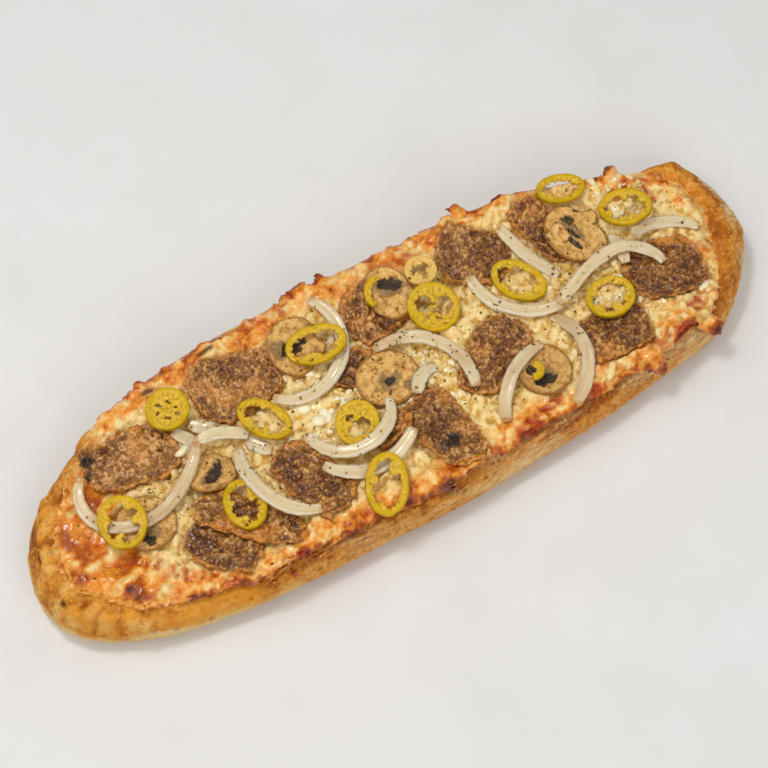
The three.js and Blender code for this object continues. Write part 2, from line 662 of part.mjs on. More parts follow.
function addTopping(kind, number, piece, stiff) {
  const name = `${kind}_${String(number).padStart(2, "0")}`;
  addMesh(name, kind, { points: settle(piece, stiff, 0.12), faces: piece.faces });
}

const bread = breadShape(0);
coverMap(bread.points, bread.faces);
addMesh("bread", "bread", bread);
addMesh("sauce", "sauce", tomatoSauce());
addMesh("cheese", "cheese", meltedCheese());
KEBABS.forEach((slice, n) => addTopping("kebab", n + 1, kebabSlice(slice, n), 0.25));
MUSHROOMS.forEach((slice, n) => addTopping("mushroom", n + 1, mushroomSlice(slice), 0.8));
STREWN.forEach((piece) => {
  if (piece.onion) addTopping("onion", piece.onion, onionStrip(piece), 0.15);
  else addTopping("pepper", piece.pepper, pepperRing(piece), 0.7);
});

const extent = new THREE.Box3().setFromObject(roll);
const centre = extent.getCenter(new THREE.Vector3());
roll.position.set(-centre.x, -centre.y, 0);

export default roll;
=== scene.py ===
import math

import bmesh
import bpy
import numpy as np
from mathutils import Matrix, Vector
from mathutils.bvhtree import BVHTree
from mathutils.kdtree import KDTree


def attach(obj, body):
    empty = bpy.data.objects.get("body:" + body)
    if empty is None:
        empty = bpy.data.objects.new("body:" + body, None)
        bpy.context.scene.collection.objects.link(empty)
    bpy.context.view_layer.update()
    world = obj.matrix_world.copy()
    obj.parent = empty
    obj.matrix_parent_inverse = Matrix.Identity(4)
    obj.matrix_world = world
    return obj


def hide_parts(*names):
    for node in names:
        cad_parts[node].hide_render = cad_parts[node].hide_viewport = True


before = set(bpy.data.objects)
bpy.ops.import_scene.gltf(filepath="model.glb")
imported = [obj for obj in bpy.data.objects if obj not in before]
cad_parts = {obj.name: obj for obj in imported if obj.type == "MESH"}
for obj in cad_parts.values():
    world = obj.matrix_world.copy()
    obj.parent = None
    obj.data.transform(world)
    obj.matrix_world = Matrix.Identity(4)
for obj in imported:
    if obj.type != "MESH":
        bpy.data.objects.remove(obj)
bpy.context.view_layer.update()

mm = 0.001
rowShift = np.array([0.96, 1.11])  # plan places below were measured this far from the row frame, in mm
cameraLook = {"turnDegrees": -31.377, "upDegrees": 65.0, "lensMm": 100, "sensorMm": 36, "distanceMm": 862.4,
              "targetMm": (0.96, -2.89, 15.0), "rightMm": -5.80, "upMm": 2.33}


def smooth(low, high, value):
    part = np.clip((value - low) / (high - low), 0.0, 1.0)
    return part * part * (3.0 - 2.0 * part)


def hashed(cell, seed):
    mixed = (cell @ np.array([73856093, 19349663, 83492791])) ^ (seed * 2654435 + 977)
    mixed = ((mixed ^ (mixed >> 13)) * 1274126177) & 0x7FFFFFFF
    mixed = ((mixed ^ (mixed >> 15)) * 668265263) & 0x7FFFFFFF
    return ((mixed >> 7) & 0xFFFF) / 65535.0


latticeTurn = np.array([[0.64, -0.60, 0.48], [0.77, 0.50, -0.40], [0.0, 0.625, 0.78]])


# smooth bumps of about sizeMm, from -1 to 1, on points in mm
def bumps(points, sizeMm, seed, octaves=1):
    total = np.zeros(len(points))
    spot = points / sizeMm
    gain, room = 1.0, 0.0
    for octave in range(octaves):
        spot = spot @ latticeTurn.T + 3.7 * seed + 11.3 * octave
        cell = np.floor(spot).astype(np.int64)
        part = spot - cell
        part = part * part * (3.0 - 2.0 * part)
        for corner in range(8):
            step = np.array([corner & 1, (corner >> 1) & 1, corner >> 2])
            share = np.prod(np.where(step, part, 1.0 - part), axis=1)
            total += gain * share * (2.0 * hashed(cell + step, seed + octave) - 1.0)
        room += gain
        gain *= 0.5
        spot = spot * 2.0
    return total / room * 1.35


# distance to the nearest of scattered grains, in grain sizes, and a random number of that grain
def grains(points, sizeMm, seed):
    spot = points / sizeMm
    cell = np.floor(spot).astype(np.int64)
    near = np.full(len(points), 9.0)
    luck = np.zeros(len(points))
    for step in np.ndindex(3, 3, 3):
        there = cell + (np.array(step) - 1)
        centre = there + np.stack([hashed(there, seed + k) for k in (1, 2, 3)], axis=1)
        gap = np.linalg.norm(spot - centre, axis=1)
        closer = gap < near
        near = np.where(closer, gap, near)
        luck = np.where(closer, hashed(there, seed + 4), luck)
    return near, luck


# 1 in the middle of an oval patch (x, y, half length, half width, turn in degrees), 0 outside, with an
# uneven edge
def patch(plan, oval, uneven=0.0):
    x, y, long, wide, turn = oval
    away = plan - (np.array([x, y]) + rowShift)
    c, s = math.cos(math.radians(turn)), math.sin(math.radians(turn))
    along = (away[:, 0] * c + away[:, 1] * s) / long
    across = (away[:, 1] * c - away[:, 0] * s) / wide
    return 1.0 - smooth(0.55, 1.25, np.hypot(along, across) + uneven)


# plan offset of something read off the picture, so many mm right and up of a place
def seen(right, up):
    turn, lean = math.radians(cameraLook["turnDegrees"]), math.sin(math.radians(cameraLook["upDegrees"]))
    return np.array([math.cos(turn) * right - math.sin(turn) * up / lean,
                     math.sin(turn) * right + math.cos(turn) * up / lean])


def patches(plan, ovals, uneven=0.0):
    return np.max([patch(plan, oval, uneven) for oval in ovals], axis=0)


def readSpots(shape):
    spots = np.empty(len(shape.vertices) * 3)
    shape.vertices.foreach_get("co", spots)
    return spots.reshape(-1, 3) / mm


def writeSpots(shape, spots):
    shape.vertices.foreach_set("co", (spots * mm).ravel())
    shape.update()


def readNormals(shape):
    normals = np.empty(len(shape.vertices) * 3)
    shape.vertex_normals.foreach_get("vector", normals)
    return normals.reshape(-1, 3)


def readLinks(shape):
    links = np.empty(len(shape.edges) * 2, dtype=np.int64)
    shape.edges.foreach_get("vertices", links)
    return links.reshape(-1, 2)


# one closed skin of even quads over all that is in a mesh
def fused(shape, voxelMm):
    piece = bpy.data.objects.new("work", shape)
    bpy.context.scene.collection.objects.link(piece)
    even = piece.modifiers.new("even", "REMESH")
    even.mode = "VOXEL"
    even.voxel_size = voxelMm * mm
    graph = bpy.context.evaluated_depsgraph_get()
    made = bpy.data.meshes.new_from_object(piece.evaluated_get(graph))
    bpy.data.objects.remove(piece)
    return made


# a copy of a CAD node with its corners merged, and each edge cut into that many more
def merged(node, cuts=0):
    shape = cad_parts[node].data.copy()
    work = bmesh.new()
    work.from_mesh(shape)
    bmesh.ops.remove_doubles(work, verts=work.verts, dist=0.001 * mm)
    if cuts:
        bmesh.ops.subdivide_edges(work, edges=work.edges[:], cuts=cuts, use_grid_fill=True)
    work.to_mesh(shape)
    work.free()
    return shape


def remeshed(node, voxelMm):
    return fused(merged(node), voxelMm)


# a lot of small closed pieces in one mesh
def joined(name, parts):
    spots, faces, start = [], [], 0
    for own, ownFaces in parts:
        spots.append(own)
        faces += [tuple(start + k for k in face) for face in ownFaces]
        start += len(own)
    shape = bpy.data.meshes.new(name)
    shape.from_pydata((np.concatenate(spots) * mm).tolist(), [], faces)
    shape.update()
    return shape


# takes facets out and keeps the thickness: each round pulls to the neighbours and pushes back
def eased(spots, links, rounds, pull=0.6, push=-0.63):
    number = len(spots)
    ends = np.concatenate([links[:, 0], links[:, 1]])
    starts = np.concatenate([links[:, 1], links[:, 0]])
    count = np.bincount(ends, minlength=number)[:, None]
    for step in range(rounds):
        for share in (pull, push):
            total = np.stack([np.bincount(ends, spots[starts, k], number) for k in range(3)], axis=1)
            spots = spots + share * (total / count - spots)
    return spots


# how deep each point lies below its smoothed surroundings, in mm; less than 0 where it stands proud. The
# colour masks darken the hollows by it, as painted shade
def hollows(spots, links, normals, rounds):
    return np.sum((eased(spots, links, rounds, 0.6, 0.0) - spots) * normals, axis=1)


# distance in plan from each point to the outline of its own piece, in mm
def planEdge(spots, cellMm):
    low = spots[:, :2].min(axis=0) - 2 * cellMm
    grid = ((spots[:, :2] - low) / cellMm).astype(int)
    filled = np.zeros(grid.max(axis=0) + 4, bool)
    filled[grid[:, 0], grid[:, 1]] = True
    around = ((1, 0), (-1, 0), (0, 1), (0, -1))
    grown = filled | np.any([np.roll(filled, step, (0, 1)) for step in around], axis=0)
    solid = grown & np.all([np.roll(grown, step, (0, 1)) for step in around], axis=0) | filled
    border = solid & ~np.all([np.roll(solid, step, (0, 1)) for step in around], axis=0)
    places = np.argwhere(border) * cellMm + low + 0.5 * cellMm
    tree = KDTree(len(places))
    for number, place in enumerate(places):
        tree.insert((place[0], place[1], 0.0), number)
    tree.balance()
    return np.array([tree.find((x, y, 0.0))[2] for x, y in spots[:, :2]]), places


# the golden left end: how far each point lies from the middle of its melted ridge, and soft clouds
def leftRidges(spots, sizeMm=6.4, turnDegrees=21):
    flat = spots * [1, 1, 0.25]
    clouds = bumps(flat, 9, 41, 2)
    c, s = math.cos(math.radians(turnDegrees)), math.sin(math.radians(turnDegrees))
    turned = np.stack([(flat[:, 0] * c + flat[:, 1] * s) * 0.6, flat[:, 1] * c - flat[:, 0] * s,
                       flat[:, 2]], axis=1)
    return grains(turned + clouds[:, None] * [2.0, 2.2, 0], sizeMm, 57)[0], clouds


# masks that the materials read, each from 0 to 1
def paint(shape, name, red, green=0.0, blue=0.0):
    colours = np.ones((len(shape.vertices), 4), np.float32)
    for channel, mask in enumerate((red, green, blue)):
        colours[:, channel] = np.clip(mask, 0.0, 1.0)
    shape.attributes.new(name, "FLOAT_COLOR", "POINT").data.foreach_set("color", colours.ravel())


# places that a material's pattern is drawn in, in mm
def chart(shape, name, places):
    shape.attributes.new(name, "FLOAT_VECTOR", "POINT").data.foreach_set("vector",
                                                                         places.astype(np.float32).ravel())


# the solid of one or more CAD nodes, ready for rays and distances in mm
def solidOf(*nodes):
    corners, faces = [], []
    for node in nodes:
        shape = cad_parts[node].data
        shape.calc_loop_triangles()
        faces += [tuple(len(corners) + k for k in t.vertices) for t in shape.loop_triangles]
        corners += readSpots(shape).tolist()
    return BVHTree.FromPolygons(corners, faces)


# distance from points to a CAD node, in mm
def gapTo(node, spots):
    tree = solidOf(node)
    return np.array([tree.find_nearest(spot)[3] for spot in spots.tolist()])


# height of the top of a CAD node below plan places, in mm; low where there is none
def topOf(node, plan):
    tree = solidOf(node)
    hits = [tree.ray_cast(Vector((x, y, 90)), Vector((0, 0, -1)))[0] for x, y in plan]
    return np.array([hit.z if hit else -9.0 for hit in hits])


# free height above points up to the toppings of one kind, in mm
def roomAbove(kind, spots):
    tree = solidOf(*nodesOf(kind))
    hits = [tree.ray_cast(Vector(spot), Vector((0, 0, 1)))[3] for spot in spots.tolist()]
    return np.array([9.0 if hit is None else hit for hit in hits])


# a CAD node as a fine, eased skin: its mesh, its points in mm, its links and its normals
def softened(node, look):
    shape = remeshed(node, look["voxelMm"])
    links = readLinks(shape)
    spots = eased(readSpots(shape), links, look["easeRounds"])
    writeSpots(shape, spots)
    return shape, spots, links, readNormals(shape)


def addPiece(name, shape, surface, replaced=()):
    piece = bpy.data.objects.new(name, shape)
    bpy.context.scene.collection.objects.link(piece)
    shape.materials.clear()
    shape.materials.append(surface)
    shape.shade_smooth()
    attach(piece, "root")
    if replaced:
        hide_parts(*replaced)
    return piece


def nodesOf(kind):
    return sorted(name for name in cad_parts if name.startswith(kind + "_"))


# a sRGB hex colour as the shader wants it
def linear(code, alpha=1.0):
    parts = [int(code[k:k + 2], 16) / 255 for k in (1, 3, 5)]
    return tuple(p / 12.92 if p <= 0.04045 else ((p + 0.055) / 1.055) ** 2.4 for p in parts) + (alpha,)


# one node with its settings, its colour stops and what goes into it: a value, a hex colour or (node,
# output);
# noise is scaled in metres, so 1 / (8 * mm) gives bumps of 8 mm
def add(tree, kind, inputs=None, stops=None, **settings):
    node = tree.nodes.new("ShaderNode" + kind)
    node.location = (220 * (len(tree.nodes) % 12), -260 * (len(tree.nodes) // 12))
    for name, value in settings.items():
        setattr(node, name, value)
    if stops:
        while len(node.color_ramp.elements) < len(stops):
            node.color_ramp.elements.new(0.5)
        for element, (place, colour) in zip(node.color_ramp.elements, stops):
            element.position = place
            element.color = linear(colour) if isinstance(colour, str) else (colour, colour, colour, 1.0)
    for socket, value in (inputs or {}).items():
        if isinstance(value, tuple) and isinstance(value[0], bpy.types.Node):
            tree.links.new(value[0].outputs[value[1]], node.inputs[socket])
        else:
            node.inputs[socket].default_value = linear(value) if isinstance(value, str) else value
    return node


def newMaterial(name):
    made = bpy.data.materials.new(name)
    made.use_nodes = True
    made.node_tree.nodes.clear()
    return made, made.node_tree


breadLook = {
    "voxelMm": 1.2,
    "easeRounds": 40,      # rounds of smoothing that take the facets out
    "swellMm": 0.4,        # soft swells of the baked side
    "wrinkleMm": 0.34,     # fine skin wrinkles
    "pitMm": 0.5,          # small pits left by bubbles
    "underMm": 0.7,        # how far the crumb gives way under the cheese
    "pale": "#FCCB78",
    "tan": "#EC9C3A",
    "brown": "#A85410",
    "golden": "#FBA52C",
    "char": "#4A2208",
    "flour": "#FFDC9C",
    "roughness": 0.66,
}
breadChars = [(-156, 18, 3.2, 1.0, 62), (-151, 30, 3.4, 1.0, 50), (-147.5, 36, 2.4, 0.9, 45),
              (151, 29, 5, 1.4, -40), (-158.5, -18, 1.6, 1.0, 80), (-141, -41, 1.6, 1.0, 0),
              (-158, 4, 3.4, 0.9, 72), (137, 36, 3, 0.8, 20)]
breadBrowns = [(-158, -34, 10, 6, 75), (147, 41, 8, 3, -25), (-120, -50, 14, 3, -8), (158, 5, 3, 16, 0),
               (140, 40, 8, 3, 20), (-146, -44, 10, 5, -30), (60, -52, 20, 2, 5), (152, 20, 4, 2.2, 60),
               (150, -16, 5, 2, -60), (146, 30, 3, 2, 0), (-150, -30, 5, 2.4, 20), (-142, -36, 5, 2.2, 10)]
breadGolds = [(-152, 14, 24, 6, 66), (-148, -28, 16, 12, -50), (-110, -48, 30, 6, -8),
              (-120, 38, 20, 5, 25), (140, 35, 14, 6, -25)]


# baked wheat crust, matt and floury: golden tan with browned swells, pale flour streaks and small dark
# scorches, with painted shade in the hollows and painted light towards the left end
def bakedCrust(look):
    made, tree = newMaterial("wheat crust, stone baked")
    place = add(tree, "TexCoord")
    masks = add(tree, "SeparateColor", {"Color": (add(tree, "Attribute", attribute_name="bake"), "Color")})
    more = add(tree, "SeparateColor", {"Color": (add(tree, "Attribute", attribute_name="gild"), "Color")})
    clouds = add(tree, "TexNoise",
                 {"Vector": (place, "Object"), "Scale": 1 / (8 * mm), "Detail": 5, "Roughness": 0.65})
    tone = add(tree, "Math", {0: (clouds, "Fac"), 1: (masks, "Red")}, operation="ADD")
    half = add(tree, "Math", {0: (tone, "Value"), 1: 0.5}, operation="MULTIPLY")
    base = add(tree, "ValToRGB", {"Fac": (half, "Value")},
               stops=[(0.30, look["pale"]), (0.47, look["tan"]), (0.68, look["brown"])])
    freckles = add(tree, "TexNoise",
                   {"Vector": (place, "Object"), "Scale": 1 / (2.0 * mm), "Detail": 6, "Roughness": 0.75})
    speck = add(tree, "MapRange",
                {"Value": (freckles, "Fac"), "From Min": 0.50, "From Max": 0.64, "To Max": 0.65},
                interpolation_type="SMOOTHSTEP")
    base = add(tree, "Mix", {0: (speck, "Result"), 6: (base, "Color"), 7: look["brown"]}, data_type="RGBA")
    lightSpeck = add(tree, "MapRange",
                     {"Value": (freckles, "Fac"), "From Min": 0.48, "From Max": 0.34, "To Max": 0.6},
                     interpolation_type="SMOOTHSTEP")
    base = add(tree, "Mix", {0: (lightSpeck, "Result"), 6: (base, 2), 7: look["pale"]}, data_type="RGBA")
    base = add(tree, "Mix", {0: (more, "Red"), 6: (base, 2), 7: look["golden"]}, data_type="RGBA")
    streaked = add(tree, "Mapping", {"Vector": (place, "Object"), "Scale": (0.4, 1.0, 1.0)})
    dustNoise = add(tree, "TexNoise",
                    {"Vector": (streaked, "Vector"), "Scale": 1 / (1.5 * mm), "Detail": 6.0,
                     "Roughness": 0.8})
    dust = add(tree, "Math", {0: (dustNoise, "Fac"), 1: (masks, "Green")}, operation="MULTIPLY")
    dustShare = add(tree, "MapRange",
                    {"Value": (dust, "Value"), "From Min": 0.22, "From Max": 0.46, "To Max": 0.9},
                    interpolation_type="SMOOTHSTEP")
    base = add(tree, "Mix", {0: (dustShare, "Result"), 6: (base, 2), 7: look["flour"]}, data_type="RGBA")
    base = add(tree, "Mix", {0: (masks, "Blue"), 6: (base, 2), 7: look["char"]}, data_type="RGBA")
    fine = add(tree, "TexNoise",
               {"Vector": (place, "Object"), "Scale": 1 / (1.3 * mm), "Detail": 6, "Roughness": 0.8})
    relief = add(tree, "Bump", {"Height": (fine, "Fac"), "Distance": 0.9 * mm, "Strength": 1.0})
    shader = add(tree, "BsdfPrincipled",
                 {"Base Color": (base, 2), "Roughness": look["roughness"], "IOR": 1.4,
                  "Specular IOR Level": 0.2, "Subsurface Weight": 0.04,
                  "Subsurface Radius": (0.9, 0.5, 0.25), "Subsurface Scale": 0.002,
                  "Normal": (relief, "Normal")})
    add(tree, "OutputMaterial", {"Surface": (shader, "BSDF")})
    return made


def makeBread(look):
    shape, spots, links, normals = softened("bread", look)
    off = smooth(0.6, 5.0, spots[:, 2])  # the sole stays flat
    covered = 1.0 - smooth(0.9, 2.2, gapTo("cheese", spots))
    shown = 1.0 - covered
    swell = bumps(spots, 17, 3, 2)
    fold = 1.0 - np.abs(bumps(spots * [0.5, 1, 1], 2.8, 5, 2))
    pits, luck = grains(spots, 5.5, 31)
    pitted = (1.0 - smooth(0.10, 0.30, pits)) * (luck > 0.66)
    plan = spots[:, :2]
    uneven = 0.35 * bumps(spots, 5, 12, 2)
    char = patches(plan, breadChars, uneven) * smooth(12, 18, spots[:, 2])
    brown = patches(plan, breadBrowns, uneven) * off
    leftTop = smooth(-104, -122, plan[:, 0] - 0.25 * plan[:, 1]) * smooth(11, 17, spots[:, 2] + 2 * uneven)
    ridge, clouds = leftRidges(spots)
    valley = smooth(0.36, 0.66, ridge)
    gold = np.clip(patches(plan, breadGolds, uneven) * smooth(8, 15, spots[:, 2]), 0, 1)
    bulge = (0.6 - valley - 0.5 * smooth(0.1, 0.4, ridge)) * leftTop
    lift = off * (swell * look["swellMm"] + look["wrinkleMm"] * (fold - 0.7) * 1.6
                  + 0.14 * bumps(spots, 1.9, 8) - look["pitMm"] * pitted)
    nearCheese = 1.0 - smooth(1.5, 7.0, gapTo("cheese", spots))
    ends = smooth(110, 150, np.abs(plan[:, 0]))
    seam = ends * nearCheese * smooth(8, 14, spots[:, 2])
    lift = lift * shown - look["underMm"] * covered * (1 - 1.5 * seam) - 0.3 * char + 1.4 * bulge * shown
    writeSpots(shape, spots + normals * lift[:, None])
    low = 1.0 - smooth(1.0, 7.0, spots[:, 2])
    # the crust is painted browner in its hollows below: painted shade
    deep = hollows(readSpots(shape), links, readNormals(shape), 4)
    # towards the left end the crust is painted paler, and its near face more golden: painted light from the
    # left
    left = smooth(-70, -140, plan[:, 0])
    bake = (0.42 + 0.14 * smooth(10, 22, spots[:, 2]) - 0.05 * low + 0.34 * brown + 0.16 * swell
            + 0.16 * nearCheese - 0.30 * left + 0.8 * deep)
    # on top of the left end: browner towards the valleys between the ridges, palest on their crests; browning
    # and painted light and shade both
    toasted = (0.02 + 0.34 * smooth(0.1, 0.4, ridge) + 0.24 * valley
               + 0.22 * valley * smooth(0.1, 0.7, clouds))
    bake += leftTop * (toasted - bake)
    dust = (0.58 + 0.30 * bumps(spots * [0.35, 1, 1], 9, 21, 2) + 0.25 * ends * (plan[:, 0] < 0)
            - 0.45 * np.maximum(gold, seam) - 0.5 * leftTop - 0.6 * char)
    paint(shape, "bake", bake, dust, 0.9 * char + 0.45 * pitted * off)
    # golden where the crust browned, less golden in the left end's valleys, and painted light on the left
    # end's near face
    gilt = (np.maximum(gold * 0.8, 0.25 * seam) * (1 - leftTop * (0.1 + 0.9 * valley))
            + 0.25 * left * smooth(-30, -48, plan[:, 1]))
    paint(shape, "gild", gilt * (0.75 + 0.5 * bumps(spots, 4, 14, 2)))
    addPiece("breadCrust", shape, bakedCrust(look), ["bread"])
    print("bread baked", len(shape.vertices))


cheeseLook = {
    "voxelMm": 0.86,
    "easeRounds": 24,      # rounds of smoothing that take the facets out
    "curdMm": 4.6,          # size of the melted curds
    "curdLiftMm": 1.7,
    "strandMm": 2.3,        # width of melted shreds
    "strandLiftMm": 0.7,
    "underMeatMm": 1.1,     # how far the cheese stays below the meat
    "bluntMm": 2.0,         # how much the run-over tips are shortened and rounded
    "cream": "#E2B55E",
    "milk": "#F8DA94",
    "yellow": "#CC9638",
    "light": "#FCC26C",
    "golden": "#EC9228",
    "roast": "#B4540A",
    "brown": "#7A3006",
    "crust": "#E49636",
    "crustPale": "#FCCB78",
    "crustBrown": "#A85410",
    "burnt": "#3E1706",
    "juice": "#A8601A",
    "sauce": "#CC4A14",
    "sauceDeep": "#9C2A04",
    "roughness": 0.28,
}
sauceShows = [(-137.5, 12.3, 5.5, 4, -40), (-142, 20, 4.5, 2.4, 30), (-131, -15, 5, 2.0, -30),
              (-122, -21, 4, 2.0, -20), (-136, -5.5, 4, 8.5, 20), (-112.5, -32.5, 13, 3.0, -41),
              (-93.5, -49.5, 5, 3.2, 10), (5, 41.5, 6, 2.2, 0), (25, 41, 6, 2.4, 10), (33, -49.5, 8, 3, 5),
              (64.5, -50.5, 3.4, 3.6, 0), (126.6, 21.5, 2.6, 5.0, 15), (121.5, -38.5, 6.5, 3.6, 10),
              (142, -18.5, 6, 3.6, -35), (108, -44.5, 3.4, 2.6, 0), (133, 14, 2.6, 6, 20),
              (-73, -50, 7, 3, 5), (14, -51, 8, 2.6, 0), (48, -45, 6, 2.6, 15), (-118, -12, 2.6, 6, 30)]
blisters = [(-149, -11.4, 5.0, 4.4, 30), (-132.7, -28, 4.8, 4.4, 0)]
scorches = [(151.5, -3.5, 5, 1.6, -75), (-62, 46, 5, 1.4, 5), (-88, 43, 3.2, 1.6, 0), (-153, 3, 4, 1.0, 62),
            (-149.5, 20, 4, 0.9, 55), (104, -54, 3, 1.4, 0), (44, -53.5, 3, 1.4, 0)]
milkSpots = [(-34, 2, 10, 9, 0), (67, -6.5, 12, 7, 10), (-106, -6, 6, 6, 0), (110, 5, 14, 8, 0),
             (-100, -22, 9, 4, -35), (124, -28, 9, 4, -30), (60, -40, 10, 4, 0), (136, 2, 8, 3.4, -60),
             (131, 28, 8, 3, -30), (-62, 38, 8, 4, 10), (-100, 34, 6, 3, 30), (15, -46, 5, 3, 0)]
tipEnds = [(-5.5, 53.5), (-15, 54.5), (56.5, 53), (76.5, 48), (124, 34.5), (125, -53), (95, -57)]
meatRims = []  # plan outlines of the meat, filled in as it is laid


# melted cheese over tomato: milky to golden, roasted brown where it stands proud, oily and softly glossy;
# painted shade in its hollows and under the meat's edges, painted light on the left end's ridges
def meltedCheese(look):
    made, tree = newMaterial("mozzarella and gouda, melted")
    place = add(tree, "TexCoord")
    masks = add(tree, "SeparateColor", {"Color": (add(tree, "Attribute", attribute_name="melt"), "Color")})
    more = add(tree, "SeparateColor", {"Color": (add(tree, "Attribute", attribute_name="milk"), "Color")})
    clouds = add(tree, "TexNoise",
                 {"Vector": (place, "Object"), "Scale": 1 / (2.6 * mm), "Detail": 5, "Roughness": 0.65})
    level = add(tree, "Math", {0: (more, "Red"), 1: 0.34}, operation="MULTIPLY")
    level = add(tree, "Math", {0: (level, "Value"), 1: (clouds, "Fac")}, operation="ADD")
    base = add(tree, "ValToRGB", {"Fac": (level, "Value")},
               stops=[(0.40, look["yellow"]), (0.52, look["cream"]), (0.68, look["milk"])])
    juiceNoise = add(tree, "TexNoise",
                     {"Vector": (place, "Object"), "Scale": 1 / (1.9 * mm), "Detail": 4, "Roughness": 0.65})
    juice = add(tree, "Math", {0: (juiceNoise, "Fac"), 1: (more, "Green")}, operation="MULTIPLY")
    juiceShare = add(tree, "MapRange",
                     {"Value": (juice, "Value"), "From Min": 0.26, "From Max": 0.62, "To Max": 0.8},
                     interpolation_type="SMOOTHSTEP")
    base = add(tree, "Mix", {0: (juiceShare, "Result"), 6: (base, "Color"), 7: look["juice"]},
               data_type="RGBA")
    sauceNoise = add(tree, "TexNoise",
                     {"Vector": (place, "Object"), "Scale": 1 / (2.2 * mm), "Detail": 3, "Roughness": 0.6})
    sauceTone = add(tree, "ValToRGB", {"Fac": (sauceNoise, "Fac")},
                    stops=[(0.40, look["sauceDeep"]), (0.58, look["sauce"])])
    fleck = add(tree, "TexNoise",
                {"Vector": (place, "Object"), "Scale": 1 / (1.9 * mm), "Detail": 5, "Roughness": 0.65})
    wobble = add(tree, "MapRange", {"Value": (fleck, "Fac"), "From Min": 0.3, "From Max": 0.7,
                                    "To Min": -0.12, "To Max": 0.12})
    heat = add(tree, "Math", {0: (masks, "Green"), 1: (wobble, "Result")}, operation="ADD")
    toastShare = add(tree, "MapRange", {"Value": (heat, "Value"), "From Min": 0.04, "From Max": 0.26},
                     interpolation_type="SMOOTHSTEP")
    toast = add(tree, "ValToRGB", {"Fac": (heat, "Value")},
                stops=[(0.16, look["light"]), (0.36, look["golden"]), (0.58, look["roast"]),
                       (0.80, look["brown"]), (1.0, look["burnt"])])
    base = add(tree, "Mix", {0: (toastShare, "Result"), 6: (base, 2), 7: (toast, "Color")},
               data_type="RGBA")
    base = add(tree, "Mix", {0: (masks, "Red"), 6: (base, 2), 7: (sauceTone, "Color")}, data_type="RGBA")
    crust = add(tree, "ValToRGB", {"Fac": (fleck, "Fac")},
                stops=[(0.36, look["crustPale"]), (0.46, look["crust"]), (0.54, look["crust"]),
                       (0.62, look["crustBrown"])])
    base = add(tree, "Mix", {0: (more, "Blue"), 6: (base, 2), 7: (crust, "Color")}, data_type="RGBA")
    base = add(tree, "Mix", {0: (masks, "Blue"), 6: (base, 2), 7: look["burnt"]}, data_type="RGBA")
    fine = add(tree, "TexNoise",
               {"Vector": (place, "Object"), "Scale": 1 / (1.1 * mm), "Detail": 4, "Roughness": 0.65})
    gloss = add(tree, "MapRange", {"Value": (clouds, "Fac"), "From Min": 0.3, "From Max": 0.7,
                                   "To Min": look["roughness"] - 0.10, "To Max": look["roughness"] + 0.22})
    relief = add(tree, "Bump", {"Height": (fine, "Fac"), "Distance": 0.5 * mm, "Strength": 1.0})
    shader = add(tree, "BsdfPrincipled",
                 {"Base Color": (base, 2), "Roughness": (gloss, "Result"), "IOR": 1.4,
                  "Specular IOR Level": 0.25, "Subsurface Weight": 0.08,
                  "Subsurface Radius": (1.0, 0.55, 0.2), "Subsurface Scale": 0.0012, "Coat Weight": 0.40,
                  "Coat Roughness": 0.12, "Normal": (relief, "Normal")})
    add(tree, "OutputMaterial", {"Surface": (shader, "BSDF")})
    return made


# height of melted shreds that lie in several directions
def strands(spots, widthMm):
    height = np.zeros(len(spots))
    for number, turn in enumerate((12, 58, 101, 149)):
        c, s = math.cos(math.radians(turn)), math.sin(math.radians(turn))
        along = (spots[:, 0] * c + spots[:, 1] * s) / 7.0
        across = spots[:, 1] * c - spots[:, 0] * s
        bent = across + 1.3 * bumps(spots, 11, 60 + number)
        noise = bumps(np.stack([along, bent / (widthMm * 0.9), spots[:, 2] * 0.05], axis=1), 1.0, 70
                      + number)
        height = np.maximum(height, smooth(0.15, 0.75, noise))
    return height


